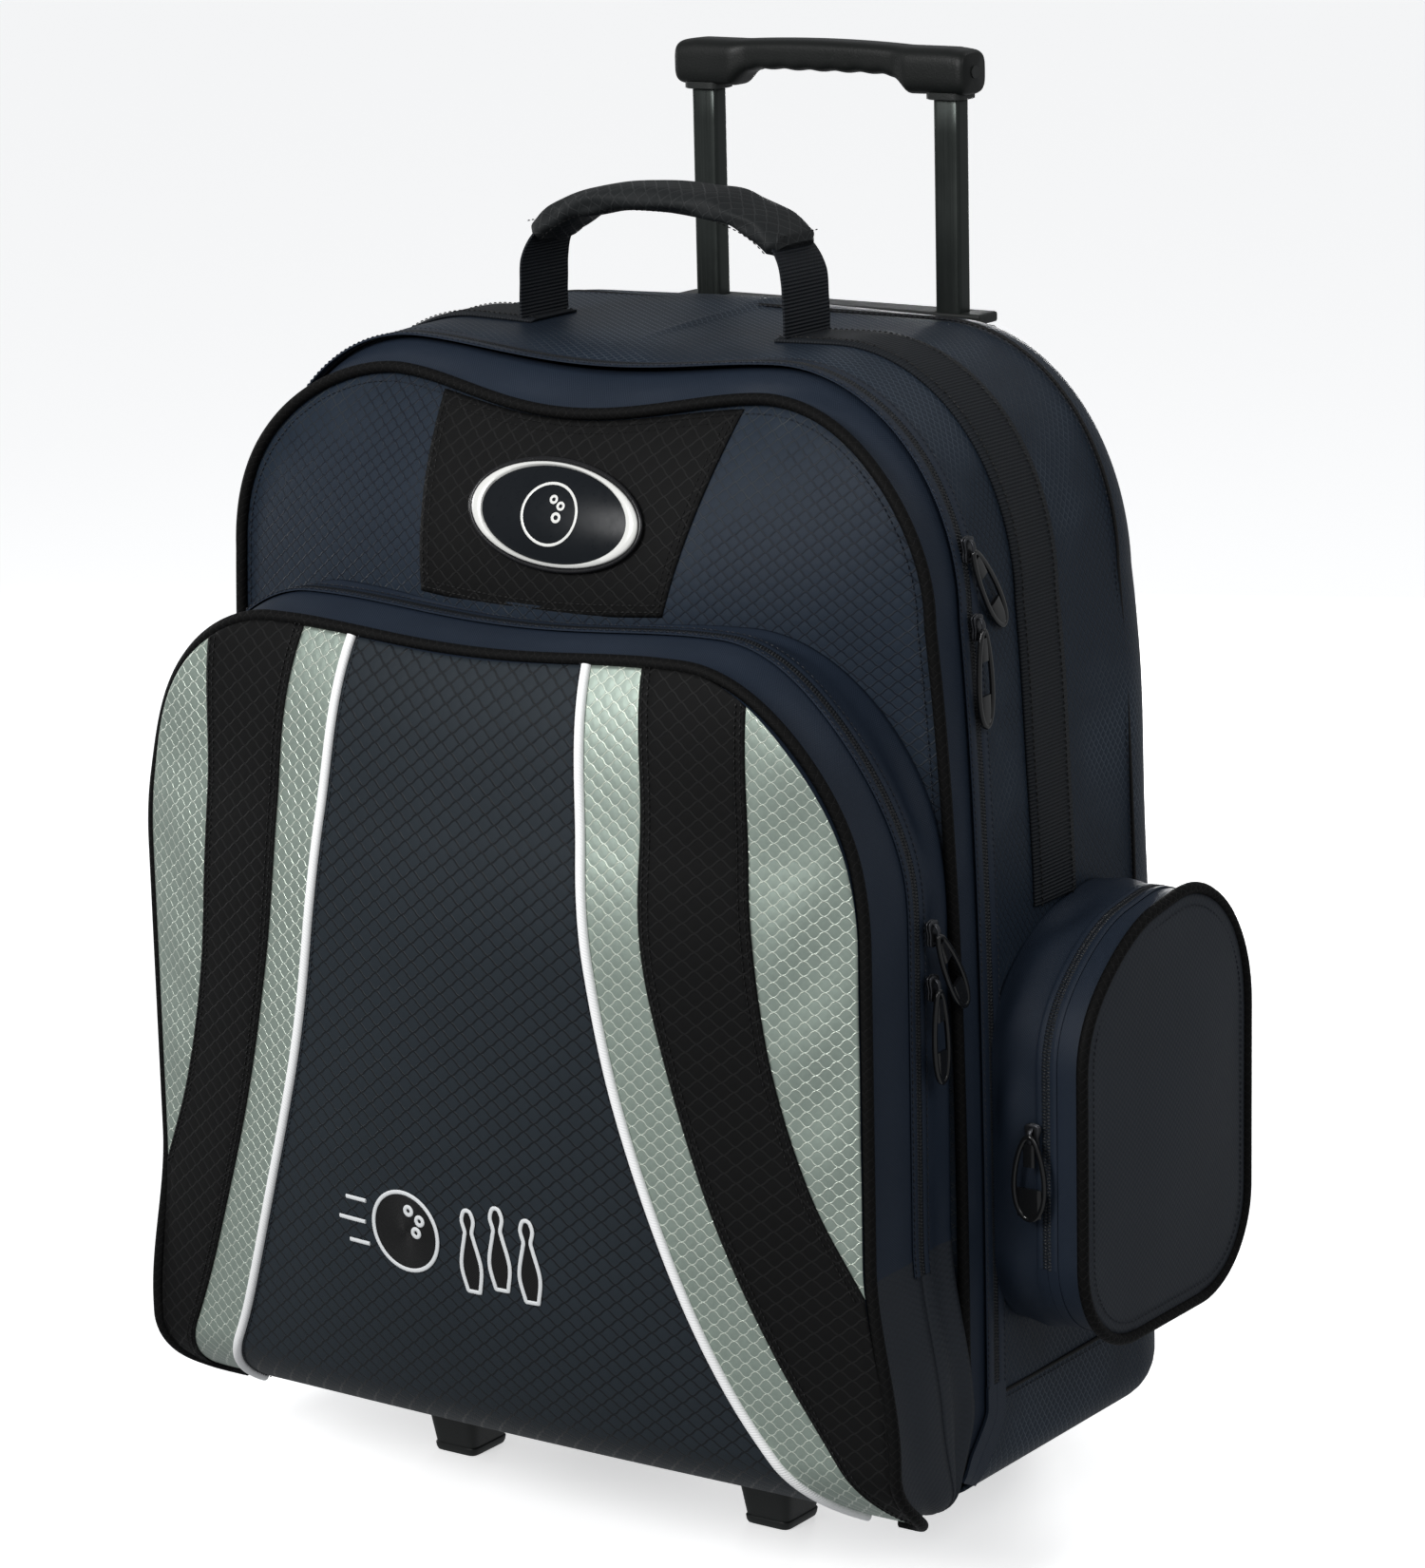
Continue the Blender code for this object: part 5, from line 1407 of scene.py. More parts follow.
    @staticmethod
    def pipings(seams, sizes):
        """White cords, the bands' two rows of stitches, and the covered welt."""
        cords, thread, light = Skin(), Skin(), Skin()
        for sign, _ in SIDES:
            cord = even(on_face(pocket_surface, seams.cord * (sign, 1.0), 0.0014), 0.003)
            cords.tube(cord, circle(sizes.cord, 12), DEEP)
            for curve, moves in ((seams.inner, (0.0022, 0.0052)), (seams.outer, (-0.0022, -0.0052))):
                for move in moves:
                    line = (curve + (move, 0.0)) * (sign, 1.0)
                    laid_stitches(thread, pocket_surface, line, 0.0017, sizes.stitch)
            line = (seams.cord - (0.0042, 0.0)) * (sign, 1.0)
            laid_stitches(light, pocket_surface, line, 0.0006, sizes.stitch)
        piece("pocket_cords", cords, ("cord",), LID, "white_cord")
        piece("pocket_band_stitches", thread, ("thread",), LID, "black_binding")
        piece("pocket_middle_stitches", light, ("dark_thread",), LID, "black_binding")
        ring = full_ring(pocket_half(0.0011), 900)
        keep = ring[(ring[:, 1] > BASE_Z + 0.0017) | (np.abs(ring[:, 0]) > 0.215)]
        keep = keep[np.argsort(np.arctan2(keep[:, 0], keep[:, 1] - 0.20))]
        path = even(at_depth(keep, pocket_edge(keep[:, 1]) - 0.0008), 0.003)
        welt = Skin().tube(path, circle(sizes.piping, 14), DEEP)
        piece("pocket_welt", welt, ("welt",), LID, "black_ripstop", ("front_pocket_piping",))


class BAG_OT_side_pocket(Operator):
    """Pocket on the right wall: side wall, zip, plain face and covered welt"""
    bl_idname = "bag.side_pocket"
    bl_label = "Side pocket"

    def execute(self, context):
        sizes = context.scene.bag_sizes
        ring = side_ring(360)
        y, z = ring[:, 0], ring[:, 1]
        base = stack(side_wall_x(y, z) - 0.0004, y, z)
        rim = stack(SIDE_ZIP_X - 0.0018, y, z)
        points = strip_between(base, rim, 15)
        run = np.cumsum(np.linalg.norm(change(rim, True), axis=1)) * 0.5
        waves = ripples(run[None, :] * 2.0, points[..., 0], 31, 8, 30.0, 80.0)
        out = np.pad(unit(change(ring, True)), ((0, 0), (1, 0)))
        out = np.cross(out, (1.0, 0.0, 0.0))
        swell = hump(np.linspace(1.0, 0.0, 15), 0.12)[:, None] * (0.0016 + 0.0019 * waves)
        points = points + out[None] * swell[..., None]
        piece("side_pocket_wall", Skin().grid(points, around=True), ("gusset", "lining"), BODY,
              "navy_ripstop", ("side_pocket_gusset",), core=(0.25, SIDE_Y, SIDE_MID), thick=0.0016, lining=1)
        self.lid(sizes)
        return {"FINISHED"}

    @staticmethod
    def lid(sizes):
        """A short side wall and a face with a low crown, (1 - a^2)(1 - b^2) of its two half widths."""
        ring = side_ring(360)
        y, z = ring[:, 0], ring[:, 1]
        strip = strip_between(stack(SIDE_ZIP_X + 0.0024, y, z), stack(SIDE_EDGE_X, y, z), 9)
        scale = np.linspace(1.0, 0.03, 34)[:, None]
        a, b = (y - SIDE_Y) * scale, (z - SIDE_MID) * scale
        crown = (1.0 - (a / SIDE_HALF) ** 2) * (1.0 - (b / (SIDE_MID - SIDE_LOW)) ** 2)
        slack = 0.0006 * ripples(a, b, 41, 6, 25.0, 60.0) * ease((1.0 - scale) * 5.0)
        rise = SIDE_CROWN * np.clip(crown, 0.0, 1.0) + slack
        face = stack(SIDE_EDGE_X + rise, SIDE_Y + a, SIDE_MID + b)
        skin = Skin().grid(strip, around=True).face(face, 1, 1)
        piece("side_lid_cloth", skin, ("gusset", "slate"), SIDE_LID, "charcoal_ripstop",
              ("side_pocket_face",), core=(0.2, SIDE_Y, SIDE_MID), thick=0.0020)
        edge = side_ring(420, -0.0022)
        path = stack(SIDE_EDGE_X - 0.0003, edge[:, 0], edge[:, 1])
        welt = Skin().tube(path, circle(sizes.piping, 14), (1.0, 0.0, 0.0), True)
        piece("side_welt", welt, ("welt",), SIDE_LID, "black_ripstop", ("side_pocket_piping",))
        hem = side_ring(400, 0.0065)
        hem = stack(SIDE_EDGE_X + 0.0012, hem[:, 0], hem[:, 1])
        navy_stitches("side_face_stitches", hem, (1.0, 0.0, 0.0), SIDE_LID, sizes, True)
        rim = side_ring(900)
        run = rim[(rim[:, 1] > 0.165) | (rim[:, 0] < 0.0)]
        run = run[(run[:, 1] > 0.150)]
        run = run[np.argsort(np.arctan2(run[:, 0] - SIDE_Y, run[:, 1] - 0.20))]
        path = even(stack(SIDE_ZIP_X, run[:, 0], run[:, 1]), 0.003)
        zip_halves("side_zip", path, (-1.0, 0.0, 0.0), (SIDE_LID, BODY), sizes, 0.0062)
        ring = side_ring(240)
        line = stack(SIDE_ZIP_X, ring[:, 0], ring[:, 1])
        for word, body, edges in (("lid", SIDE_LID, (-0.0062, -0.0001)), ("wall", BODY, (0.0001, 0.0062))):
            strip = stack(np.array(edges)[[0, 1, 1, 0]], (0.0004, 0.0004, -0.0005, -0.0005))
            cloth = Skin().tube(line, strip, (-1.0, 0.0, 0.0), True)
            piece("side_zip_backing_" + word, cloth, ("gusset",), body, "zip_tape")


class BAG_OT_straps(Operator):
    """Ribbed webbing over both sides and shoulders, stitched along both edges"""
    bl_idname = "bag.straps"
    bl_label = "Side straps"

    def execute(self, context):
        sizes = context.scene.bag_sizes
        rows = shell_rows(np.linspace(STRAP_Y[0], STRAP_Y[1], 9), 1300)
        rows = rows + grid_normals(rows) * (sizes.pucker * shell_slack(rows))[..., None]
        lift = grid_normals(rows)
        for sign, side in SIDES:
            start = 0.340 if sign > 0 else 0.058
            keep = (np.arange(1300) < 650) & (rows[4, :, 2] > start)
            keep &= (rows[4, :, 0] > STRAP_END_X - 0.010) | (rows[4, :, 2] < 0.5)
            edge = np.abs(span(9, -1.0))[:, None, None]
            points = rows[:, keep] + lift[:, keep] * 0.0010
            points = points + lift[:, keep] * (0.0012 - 0.0007 * (edge > 0.95))
            points = points.transpose(1, 0, 2) * (sign, 1.0, 1.0)
            skin = Skin().grid(points)
            piece("strap_" + side, skin, ("webbing",), BODY, "black_webbing", ("side_strap_" + side,),
                  core=(0.0, 0.084, 0.3), thick=0.0016)
            thread = Skin()
            out = lift[4, keep] * (sign, 1.0, 1.0)
            for column in (1, 7):
                stitches(thread, points[:, column] + out * 0.0002, out, sizes.stitch)
            piece("strap_stitches_" + side, thread, ("thread",), BODY, "black_binding")
        return {"FINISHED"}


def arch(angle):
    """Superellipse arch of the carry handle: points and outward normals, as (x, z)."""
    power = 2.0 / 2.4

    def at(a):
        """The point at an angle."""
        return stack(ARCH_HALF * np.sign(np.cos(a)) * np.abs(np.cos(a)) ** power,
                     PIVOT_Z + ARCH_RISE * np.abs(np.sin(a)) ** power)

    along = unit(at(angle + 0.01) - at(angle - 0.01))
    return at(angle), stack(along[:, 1], -along[:, 0])


class BAG_OT_carry_handle(Operator):
    """Webbing legs sewn to the top and the padded, wrapped grip between them"""
    bl_idname = "bag.carry_handle"
    bl_label = "Carry handle"

    def execute(self, context):
        sizes = context.scene.bag_sizes
        half = (STRAP_Y[1] - STRAP_Y[0]) / 2.0
        for sign, side in SIDES:
            path, out = self.leg(sign)
            wide = half * np.interp(np.arange(len(path)), (len(path) * 0.6, len(path) - 1), (1.0, 0.86))
            t = span(9, -1.0)
            shape = np.concatenate([stack(t, 0.0011 - 0.0005 * (np.abs(t) > 0.95)),
                                    stack(t[::-1], -0.0011 + 0.0005 * (np.abs(t) > 0.95))])
            profile = shape[None] * stack(wide, 1.0)[:, None]
            sideways = np.array([0.0, 1.0, 0.0])
            points = path[:, None] + sideways * profile[..., :1] + out[:, None] * profile[..., 1:]
            obj = piece("handle_leg_" + side, Skin().solid(points), ("webbing",), None,
                        "black_webbing", ("handle_webbing_" + side,), core=(sign * ARCH_HALF, PIVOT_Y, 0.64))
            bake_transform(obj)
        self.grip(sizes)
        return {"FINISHED"}

    @staticmethod
    def leg(sign):
        """Centre line and outward normal of a leg: a foot along the top, up, then into the arch."""
        foot = spline([(sign * 0.0845, PIVOT_Y, 0.6235), (sign * 0.0846, PIVOT_Y, 0.6330),
                       (sign * 0.0841, PIVOT_Y, 0.6420)], 12)
        angle = np.radians(np.linspace(2.0, 30.0, 16))
        curve, _ = arch(angle)
        bend = stack(sign * curve[:, 0], PIVOT_Y, curve[:, 1])
        path = even(np.concatenate([foot, bend]), 0.0016)
        along = unit(change(path))
        return path, unit(np.cross(along, DEEP)) * -sign

    @staticmethod
    def grip(sizes):
        """Wrapped pad along the arch: superellipse sections, fullest in the middle, with fine creases."""
        angle = np.radians(np.linspace(25.0, 155.0, 150))
        points, normal = arch(angle)
        count = 44
        turn = round_turn(count)
        c, s = np.cos(turn), np.sin(turn)
        run = span(150, -1.0)[:, None]
        end = ease((1.0 - np.abs(run)) / 0.07)
        wrinkle = ripples(run * 0.06, s[None, :] * 0.02, 53, 8, 150.0, 420.0) * 0.00055
        fat = 1.0 + 0.10 * np.sqrt(parabola(run)) - 0.16 * (1.0 - end)
        across = 0.0195 * np.sign(c) * np.abs(c) ** 0.62 * fat
        away = 0.0062 * np.sign(s) * np.abs(s) ** 0.85 * (fat + 0.12)
        crease = 1.0 + (wrinkle / 0.0062) * end
        x = points[:, :1] + normal[:, :1] * away * crease
        z = points[:, 1:] + normal[:, 1:] * away * crease
        y = PIVOT_Y + across * (1.0 + 0.4 * (crease - 1.0))
        skin = Skin().solid(stack(x, y, z))
        obj = piece("handle_wrap", skin, ("handle",), "carry_handle", "black_ripstop", ("handle_grip",))
        thread = Skin()
        seam = np.stack([points[:, 0] + normal[:, 0] * -0.0054, np.full(150, PIVOT_Y - 0.0180),
                         points[:, 1] - normal[:, 1] * 0.0054], axis=1)[6:-6]
        stitches(thread, seam, (0.0, -1.0, 0.0), sizes.stitch)
        for angle in (29.0, 151.0):
            (centre,), (out,) = arch(np.radians(np.array([angle])))
            across = PIVOT_Y + 0.0195 * np.linspace(-0.85, 0.85, 30)
            line = stack(centre[0] + out[0] * 0.0074, across, centre[1] + out[1] * 0.0074)
            stitches(thread, line, (out[0], 0.0, out[1]), sizes.stitch)
        piece("handle_stitches", thread, ("thread",), "carry_handle", "black_binding")


class BAG_OT_trolley(Operator):
    """Telescopic tubes with their grooves, and the moulded grip with its collars"""
    bl_idname = "bag.trolley"
    bl_label = "Trolley handle"

    def execute(self, context):
        for sign, side in SIDES:
            low, high = corners("inner_tube_" + side)
            outline = rounded(0.00795, 0.00595, 7.0, 64)
            groove = 0.0009 * np.exp(-(outline[:, 0] / 0.0022) ** 4) * np.sign(outline[:, 1])
            outline = outline - stack(np.zeros(64), groove)
            foot, top = low[2], high[2]
            heights = [foot, foot + 0.0004, *np.linspace(foot + 0.02, top - 0.02, 40), top - 0.0004, top]
            heights = np.array(heights)
            inset = np.where((heights > foot) & (heights < top), 1.0, 0.96)
            points = sections((sign * TUBE_X, TUBE_Y), outline, inset, heights)
            piece("trolley_tube_" + side, Skin().solid(points), ("tube",),
                  "trolley_handle", "tube_aluminium", ("inner_tube_" + side,), sharp=40.0)
        self.grip()
        return {"FINISHED"}

    @staticmethod
    def grip():
        """One moulding: superellipse sections along x, deep over the tubes, slim and arched between them."""
        end = np.linspace(0.0, 0.0035, 10) - 0.0940
        x = np.concatenate([end, np.linspace(-0.0900, 0.0900, 150), -end[::-1]])
        side = np.abs(x)
        block = ease((side - 0.0470) / 0.0115)
        closing = np.sqrt(np.clip(1.0 - (np.maximum(side - 0.0895, 0.0) / 0.0046) ** 2, 0.0, 1.0))
        low = 0.7418 - 0.0098 * block - 0.0016 * np.exp(-((side - 0.047) / 0.006) ** 2)
        high = 0.7590 - 0.0016 * block - 0.0014 * (side / 0.05) ** 2 * (1.0 - block)
        high = high - 0.0012 * ease((side - 0.080) / 0.014)
        middle = (low + high) / 2.0
        tall = (high - low) / 2.0 * (0.80 + 0.20 * closing)
        deep = (0.0105 + 0.0020 * block) * (0.84 + 0.16 * closing)
        section = rounded(1.0, 1.0, 3.6, 56)
        finger = 0.0004 * np.cos(x / 0.0165 * TURN) * (1.0 - block)
        y = TUBE_Y + section[None, :, 0] * deep[:, None]
        z = middle[:, None] + section[None, :, 1] * tall[:, None]
        z = z - finger[:, None] * (section[None, :, 1] < -0.3)
        skin = Skin().solid(stack(x[:, None], y, z))
        piece("trolley_grip", skin, ("grip",), "trolley_handle", "moulded_plastic",
              ("grip_bar", "grip_block_left", "grip_block_right"), sharp=60.0)
        collars = Skin()
        for sign, _ in SIDES:
            ring = rounded(0.0112, 0.0100, 5.0, 48)
            heights = np.array([0.7335, 0.7330, 0.7300, 0.7295])
            scale = np.array([1.0, 1.0, 1.0, 0.90])
            collars.solid(sections((sign * TUBE_X, TUBE_Y), ring, scale, heights))
        piece("trolley_grip_collars", collars, ("plastic",), "trolley_handle", "moulded_plastic", sharp=40.0)


class BAG_OT_feet(Operator):
    """Moulded front feet: tapered blocks with rounded corners and a foot pad"""
    bl_idname = "bag.feet"
    bl_label = "Front feet"

    def execute(self, context):
        for _, side in SIDES:
            low, high = corners("front_foot_" + side)
            half = (high - low) / 2.0
            centre = (low + high) / 2.0
            heights = np.array([0.0, 0.0004, 0.0020, 0.0042, 0.0046, 0.0052, 0.0200, 0.0330, 0.0336, 0.0384,
                                0.0388])
            widen = np.array([0.92, 0.97, 1.0, 1.0, 0.99, 0.95, 0.97, 0.985, 1.0, 1.0, 0.98])
            scale = (0.82 + 0.30 * heights / heights[-1]) * widen
            ring = rounded(half[0], half[1], 8.0, 64)
            points = sections(centre, ring, scale, heights)
            piece("foot_" + side, Skin().solid(points), ("plastic",), BODY,
                  "moulded_plastic", ("front_foot_" + side,), sharp=35.0)
        return {"FINISHED"}


class BAG_OT_back_panel(Operator):
    """Stiffened cover over the trolley guides, bound and stitched along its edges"""
    bl_idname = "bag.back_panel"
    bl_label = "Trolley cover"

    def execute(self, context):
        sizes = context.scene.bag_sizes
        low, high = 0.0772, 0.6086
        s = span(130)[:, None]
        t = span(90, -1.0)[None, :]
        x = 0.1118 * t
        z = low + (high - low) * s
        edge = np.minimum((1.0 - np.abs(t)) * 0.1118, np.minimum(s, 1.0 - s) * (high - low))
        rise = quarter_round(edge / 0.012)
        y = 0.2268 + 0.0205 * rise + 0.0006 * ripples(x, z, 61, 6, 15.0, 45.0) * ease(edge / 0.03)
        tubes = 0.0010 * np.exp(-((np.abs(x) - TUBE_X) / 0.012) ** 2) * ease(edge / 0.02)
        skin = Skin().grid(stack(x, y + tubes, z), stack(x, z))
        piece("trolley_cover_cloth", skin, ("wall",), BODY, "navy_ripstop", ("trolley_cover",),
              core=(0.0, 0.1, 0.33), thick=0.0016)
        path = self.outline(0.1125, low - 0.0008, high + 0.0004, 500)
        path = stack(path[:, 0], 0.2278, path[:, 1])
        trim = Skin().tube(path, circle(0.0020, 12, 0.8), DEEP, True)
        piece("trolley_cover_binding", trim, ("binding",), BODY, "black_binding")
        inner = self.outline(0.0985, low + 0.014, high - 0.014, 400)
        inner = stack(inner[:, 0], 0.2474, inner[:, 1])
        navy_stitches("trolley_cover_stitches", inner, DEEP, BODY, sizes, True)
        return {"FINISHED"}

    @staticmethod
    def outline(half, low, high, count):
        """Rectangle with small round corners, as (x, z)."""
        return full_ring(half_outline(upright(half), low, high, 0.006, 0.006, 0.006), count)


class BAG_OT_inside(Operator):
    """Foam cups for the balls and the padded wall between them"""
    bl_idname = "bag.inside"
    bl_label = "Inside"

    def execute(self, context):
        for sign, side in SIDES:
            x = np.linspace(0.0062, 0.2048, 80)[:, None]
            y = np.linspace(0.0082, 0.1638, 64)[None, :]
            across, deep = x - 0.112, y - 0.095
            inside = 0.0121 - across ** 2 - deep ** 2
            dish = 0.1640 - np.sqrt(np.clip(inside, 0.0, 1.0))
            top = np.where(inside > 0.0, np.minimum(dish, 0.0978), 0.0978)
            edge = np.minimum(np.minimum(x - 0.0062, 0.2048 - x), np.minimum(y - 0.0082, 0.1638 - y))
            top = top - 0.006 * (1.0 - quarter_round(edge / 0.006))
            upper = stack(sign * x, y, top)
            lower = stack(sign * x, y, 0.0480)
            skin = Skin().grid(upper).grid(lower[::-1])
            for walls in ((upper[0], lower[0]), (upper[-1], lower[-1]), (upper[:, 0], lower[:, 0]),
                          (upper[:, -1], lower[:, -1])):
                skin.grid(np.array(walls))
            cup = piece("ball_cup_foam_" + side, skin, ("foam",), BODY, "foam", ("ball_cup_" + side,))
        y = span(50, -1.0)[None, :]
        z = span(60, -1.0)[:, None]
        bulge = (np.clip(1.0 - y ** 6, 0.0, 1.0) * np.clip(1.0 - z ** 8, 0.0, 1.0)) ** 0.35
        skin = Skin()
        for face in (-1.0, 1.0):
            skin.grid(stack(face * 0.0044 * bulge, 0.086 + 0.0758 * y, 0.1565 + 0.1083 * z)[:, ::int(face)])
        wall = piece("ball_divider_pad", skin, ("lining",), BODY, "lining", ("ball_divider",))
        return {"FINISHED"}


class BAG_OT_wheels(Operator):
    """Spokes on both faces of each wheel"""
    bl_idname = "bag.wheels"
    bl_label = "Wheels"

    def execute(self, context):
        for _, side in SIDES:
            low, high = corners("wheel_tyre_" + side)
            centre = (low + high) / 2.0
            skin = Skin()
            for face in (-1.0, 1.0):
                for k in range(5):
                    turn = TURN * k / 5.0
                    along = np.array([0.0, math.cos(turn), math.sin(turn)])
                    path = centre + along * np.linspace(0.0128, 0.0222, 8)[:, None]
                    path = path + (face * 0.0066, 0.0, 0.0)
                    bar = rounded(0.0026, 0.0012, 4.0, 12)
                    skin.tube(path, bar, np.cross((1.0, 0.0, 0.0), along))
            piece("wheel_spokes_" + side, skin, ("hub",), "wheel_" + side, "wheel_plastic", sharp=40.0)
        return {"FINISHED"}


class BAG_OT_pulls(Operator):
    """Gunmetal sliders and glossy oval pulls of the five zips"""
    bl_idname = "bag.pulls"
    bl_label = "Zip sliders and pulls"
    names = ("main_zip_upper", "main_zip_lower", "front_zip_upper", "front_zip_lower", "side_zip")
    leans = (0.60, 0.05, 0.55, 0.05, 0.0)

    def execute(self, context):
        for name, lean in zip(self.names, self.leans):
            outward = np.array([0.0, -1.0, 0.0]) if name == "side_zip" else np.array([1.0, 0.0, 0.0])
            across = np.array([1.0, 0.0, 0.0]) if name == "side_zip" else np.array([0.0, 1.0, 0.0])
            self.slider(name, outward, across)
            self.pull(name, lean, outward, across)
        return {"FINISHED"}

    @staticmethod
    def slider(name, outward, across):
        """Two shouldered plates and the bridge that holds the pull."""
        low, high = corners(name + "_slider")
        centre = (low + high) / 2.0
        half = np.abs((high - low) / 2.0 @ np.stack([across, [0.0, 0.0, 1.0], outward], axis=1))
        t = span(22, -1.0)
        waist = 0.78 + 0.22 * ease((t + 0.3) / 1.0) - 0.10 * np.exp(-((t + 0.1) / 0.35) ** 2)
        ends = np.sqrt(np.clip(1.0 - t ** 8, 0.03, 1.0))
        skin = Skin()
        for level, thick in ((-0.35, 0.45), (0.45, 0.35)):
            ring = rounded(1.0, 1.0, 4.0, 20)
            points = (centre + outward * half[2] * level
                      + across * (half[0] * (waist * ends)[:, None] * ring[None, :, 0])[..., None]
                      + outward * (half[2] * thick * ends[:, None] * ring[None, :, 1])[..., None]
                      + np.array([0.0, 0.0, 1.0]) * (half[1] * t)[:, None, None])
            skin.solid(points)
        arch_t = np.linspace(0.0, math.pi, 16)
        bridge = (centre + outward * (half[2] * 0.6 + 0.0030 * np.sin(arch_t))[:, None]
                  + np.array([0.0, 0.0, 1.0]) * (-0.0050 * np.cos(arch_t))[:, None])
        skin.tube(bridge, rounded(0.0015, 0.0006, 3.0, 12), across)
        body = name + "_slider_body"
        piece(name + "_slider_metal", skin, ("gunmetal",), body, "zip_metal", (name + "_slider",), sharp=40.0)

    @staticmethod
    def pull(name, lean, outward, across):
        """Oval loop of soft plastic with a web across its upper end."""
        low, high = corners(name + "_pull")
        middle = (low + high) / 2.0
        size, wide = {"main": (0.050, 0.0060), "fron": (0.048, 0.0060), "side": (0.044, 0.0088)}[name[:4]]
        down = np.array([0.0, 0.0, -1.0]) * math.cos(lean) + across * math.sin(lean)
        sideways = across * math.cos(lean) + np.array([0.0, 0.0, 1.0]) * math.sin(lean)
        turn = round_turn(72)
        taper = 1.0 - 0.24 * np.cos(turn)
        path = (middle - down * (size / 2.0 * np.cos(turn))[:, None] * 0.99
                + sideways * (wide * np.sin(turn) * taper)[:, None])
        skin = Skin().tube(path, rounded(0.0013, 0.0014, 2.6, 14), outward, True)
        web = middle - down * size * 0.5 + down * np.array([0.004, 0.008, 0.012, 0.016])[:, None]
        bar = rounded(0.0034, 0.0009, 3.0, 16)
        skin.tube(web, bar, sideways)
        tip = middle + down * size * 0.5 - down * np.array([0.0015, 0.006, 0.012, 0.0165])[:, None]
        skin.tube(tip, rounded(wide - 0.0016, 0.0009, 3.0, 16), sideways)
        piece(name + "_pull_loop", skin, ("gloss",), name + "_pull_body", "pull_plastic", (name + "_pull",),
              sharp=60.0)


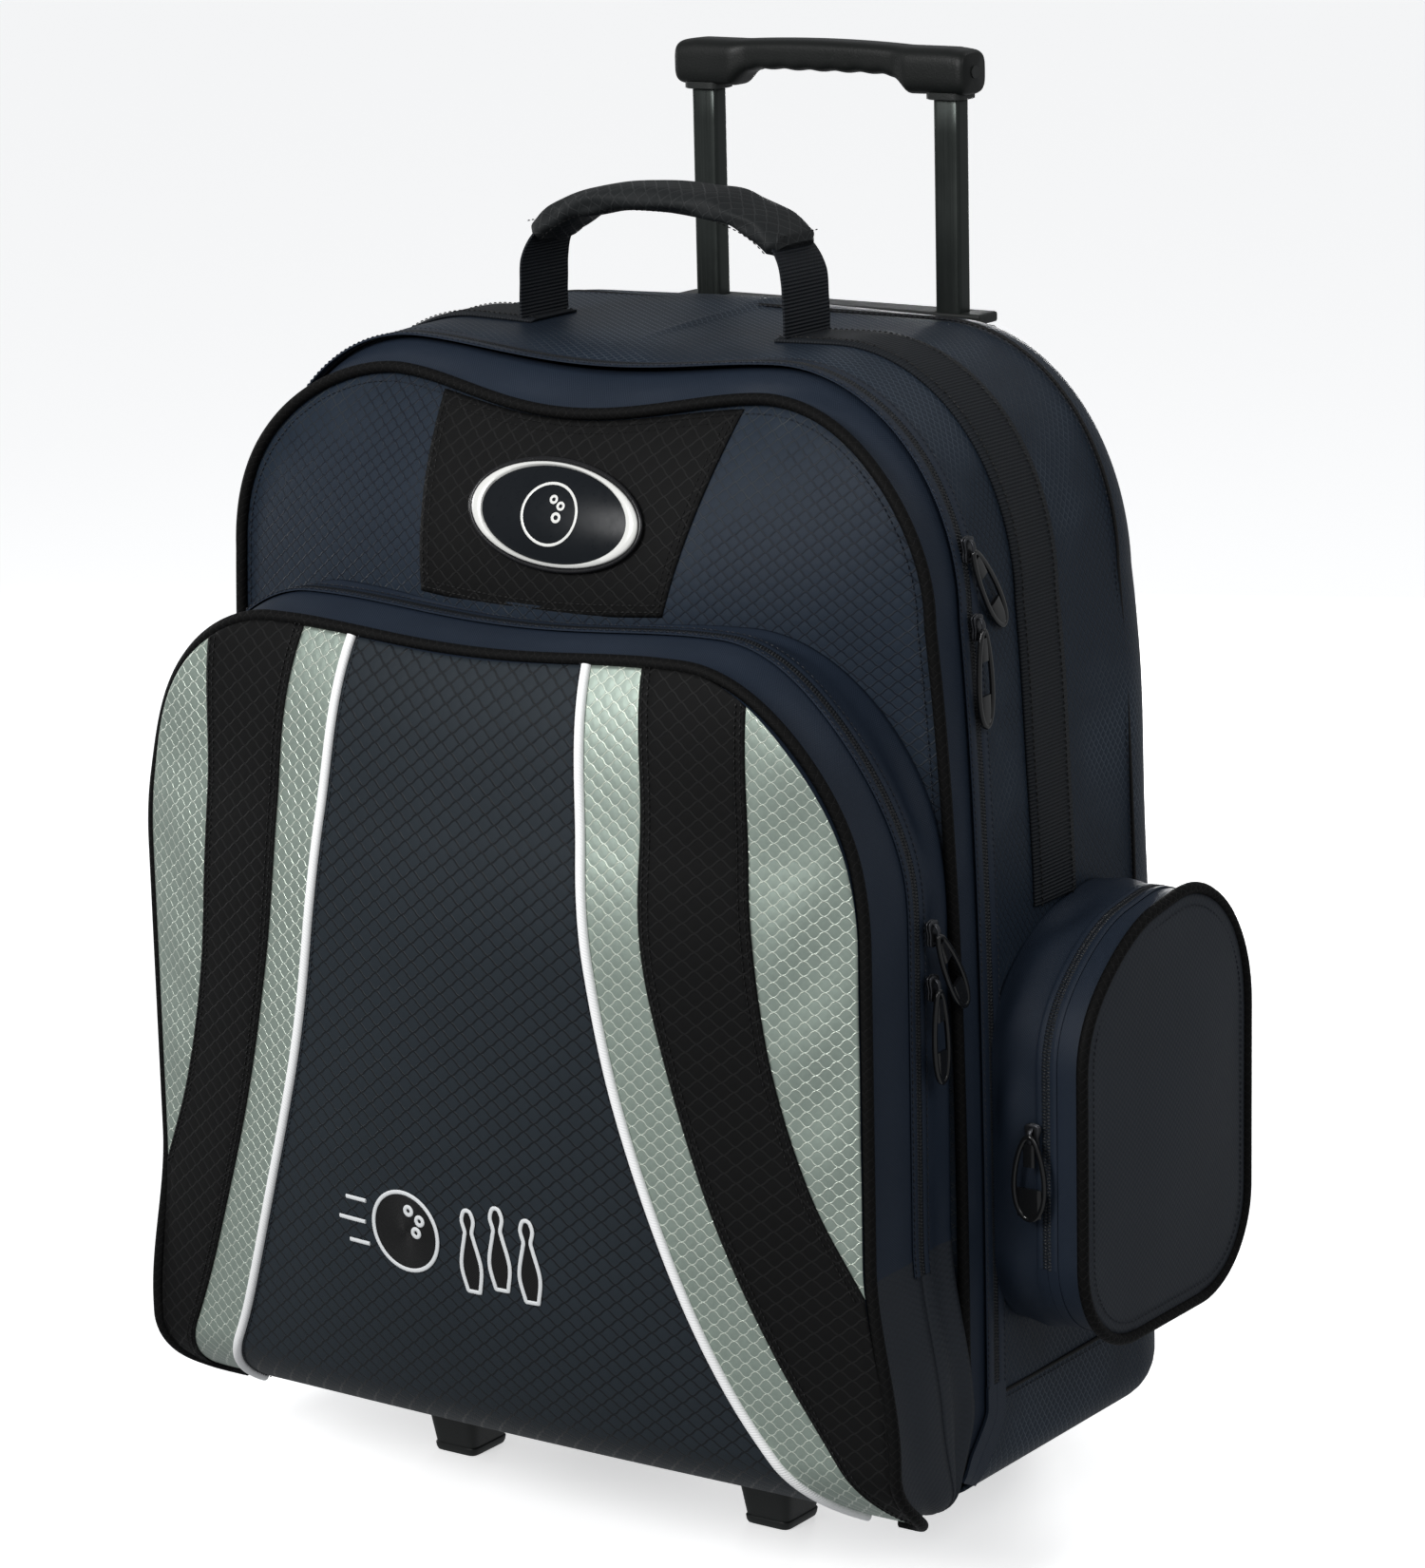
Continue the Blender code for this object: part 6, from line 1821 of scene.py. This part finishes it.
class BAG_OT_stage(Operator):
    """Pale floor, soft studio lights and the camera"""
    bl_idname = "bag.stage"
    bl_label = "Studio"

    def execute(self, context):
        scene = context.scene
        scene.view_settings.view_transform = "Standard"
        scene.view_settings.look = "None"
        floor = Finish("studio_floor", (0.92, 0.92, 0.925), 0.55)
        where, _ = floor.where(uv=False)
        floor.shader.inputs["Emission Color"].default_value = (1.0, 1.0, 1.0, 1.0)
        floor.shader.inputs["Emission Strength"].default_value = 0.60
        floor.feed("Roughness", 0.5 + 0.1 * floor.noise(where, 6.0, 2.0))
        turn = round_turn(64)
        sizes = np.array([0.01, 2.0, 6.0, 14.0])
        rings = stack(sizes[:, None] * np.cos(turn), sizes[:, None] * np.sin(turn), 0.0)
        ground = Skin().grid(rings, around=True, caps=(True, False))
        data = ground.mesh("studio_floor")
        data.transform(Matrix.Translation(-Vector(OFFSET)))
        data.materials.append(floor.material)
        obj = bpy.data.objects.new("studio_floor", data)
        obj.visible_diffuse = False
        obj.visible_glossy = False
        scene.collection.objects.link(obj)
        obj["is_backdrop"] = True
        world = bpy.data.worlds.new("studio_air")
        scene.world = world
        world.use_nodes = True
        self.air(world.node_tree)
        for name, azimuth, height, reach, size, power in (
                ("key", -10.0, 30.0, 2.4, 1.1, 40.0), ("fill", 66.0, 34.0, 2.6, 1.2, 12.0),
                ("rim", 150.0, 50.0, 2.6, 1.2, 4.0), ("back", 205.0, 3.0, 2.4, 0.6, 12.0),
                ("left", -90.0, 8.0, 2.6, 0.7, 8.0)):
            self.lamp(name, azimuth, height, reach, size, power)
        self.camera(scene)
        return {"FINISHED"}

    @staticmethod
    def air(tree):
        """Even soft light all round, with a white backdrop behind the bag."""
        light = tree.nodes["Background"]
        light.inputs["Color"].default_value = (0.95, 0.975, 1.0, 1.0)
        light.inputs["Strength"].default_value = 0.34
        backdrop = tree.nodes.new("ShaderNodeBackground")
        backdrop.inputs["Color"].default_value = (1.0, 1.0, 1.0, 1.0)
        backdrop.inputs["Strength"].default_value = 1.0
        seen = tree.nodes.new("ShaderNodeLightPath")
        either = tree.nodes.new("ShaderNodeMixShader")
        tree.links.new(seen.outputs["Is Camera Ray"], either.inputs[0])
        tree.links.new(light.outputs[0], either.inputs[1])
        tree.links.new(backdrop.outputs[0], either.inputs[2])
        tree.links.new(either.outputs[0], tree.nodes["World Output"].inputs["Surface"])

    @staticmethod
    def lamp(name, azimuth, height, reach, size, power):
        """A round lamp that looks at the middle of the bag."""
        a, e = math.radians(azimuth), math.radians(height)
        away = Vector((math.sin(a) * math.cos(e), -math.cos(a) * math.cos(e), math.sin(e)))
        data = bpy.data.lights.new(name, "AREA")
        data.shape = "DISK"
        data.size = size
        data.energy = power
        obj = bpy.data.objects.new(name, data)
        obj.location = Vector((0.0, 0.0, 0.35)) + away * reach
        obj.rotation_euler = away.to_track_quat("Z", "Y").to_euler()
        bpy.context.scene.collection.objects.link(obj)

    @staticmethod
    def camera(scene):
        """The camera: its direction from two angles, then a small roll."""
        azimuth, height, roll = math.radians(35.1), math.radians(13.4), math.radians(1.31)
        ahead = Vector((-math.sin(azimuth) * math.cos(height), math.cos(azimuth) * math.cos(height),
                        -math.sin(height)))
        right = Vector((math.cos(azimuth), math.sin(azimuth), 0.0))
        down = ahead.cross(right)
        across = right * math.cos(roll) + down * math.sin(roll)
        below = down * math.cos(roll) - right * math.sin(roll)
        data = bpy.data.cameras.new("studio_camera")
        data.lens = 117.7
        data.sensor_width = 36.0
        data.clip_end = 30.0
        obj = bpy.data.objects.new("studio_camera", data)
        turn = Matrix((across, -below, -ahead)).transposed().to_4x4()
        place = Vector((1.55377, -2.10059, 1.01216)) + Vector(OFFSET)
        obj.matrix_world = Matrix.Translation(place) @ turn
        scene.collection.objects.link(obj)
        scene.camera = obj


OPERATORS = (BAG_OT_finishes, BAG_OT_stage, BAG_OT_shell, BAG_OT_flap, BAG_OT_patch, BAG_OT_badge,
             BAG_OT_front_gusset, BAG_OT_front_lid, BAG_OT_side_pocket, BAG_OT_straps, BAG_OT_carry_handle,
             BAG_OT_trolley, BAG_OT_feet, BAG_OT_back_panel, BAG_OT_inside, BAG_OT_wheels, BAG_OT_pulls)


class BAG_PT_bag(Panel):
    """Makes the bag piece by piece"""
    bl_idname = "BAG_PT_bag"
    bl_label = "Bowling bag"
    bl_space_type = "VIEW_3D"
    bl_region_type = "UI"
    bl_category = "Bowling bag"

    def draw(self, context):
        for group in (context.scene.bag_sizes, context.scene.bag_colours):
            for key in group.__annotations__:
                self.layout.prop(group, key)
        for operator in OPERATORS:
            self.layout.operator(operator.bl_idname)


def register():
    for cls in (BagSizes, BagColours, *OPERATORS, BAG_PT_bag):
        bpy.utils.register_class(cls)
    bpy.types.Scene.bag_sizes = PointerProperty(type=BagSizes)
    bpy.types.Scene.bag_colours = PointerProperty(type=BagColours)


def unregister():
    del bpy.types.Scene.bag_colours
    del bpy.types.Scene.bag_sizes
    for cls in (BAG_PT_bag, *reversed(OPERATORS), BagColours, BagSizes):
        bpy.utils.unregister_class(cls)


def main():
    register()
    for operator in OPERATORS:
        getattr(bpy.ops.bag, operator.bl_idname.split(".")[1])()
    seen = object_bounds()
    boxes = {"cad": cad_box, "visual": seen}
    {name: [list(corner) for corner in box] for name, box in boxes.items()}


if __name__ == "__main__":
    main()
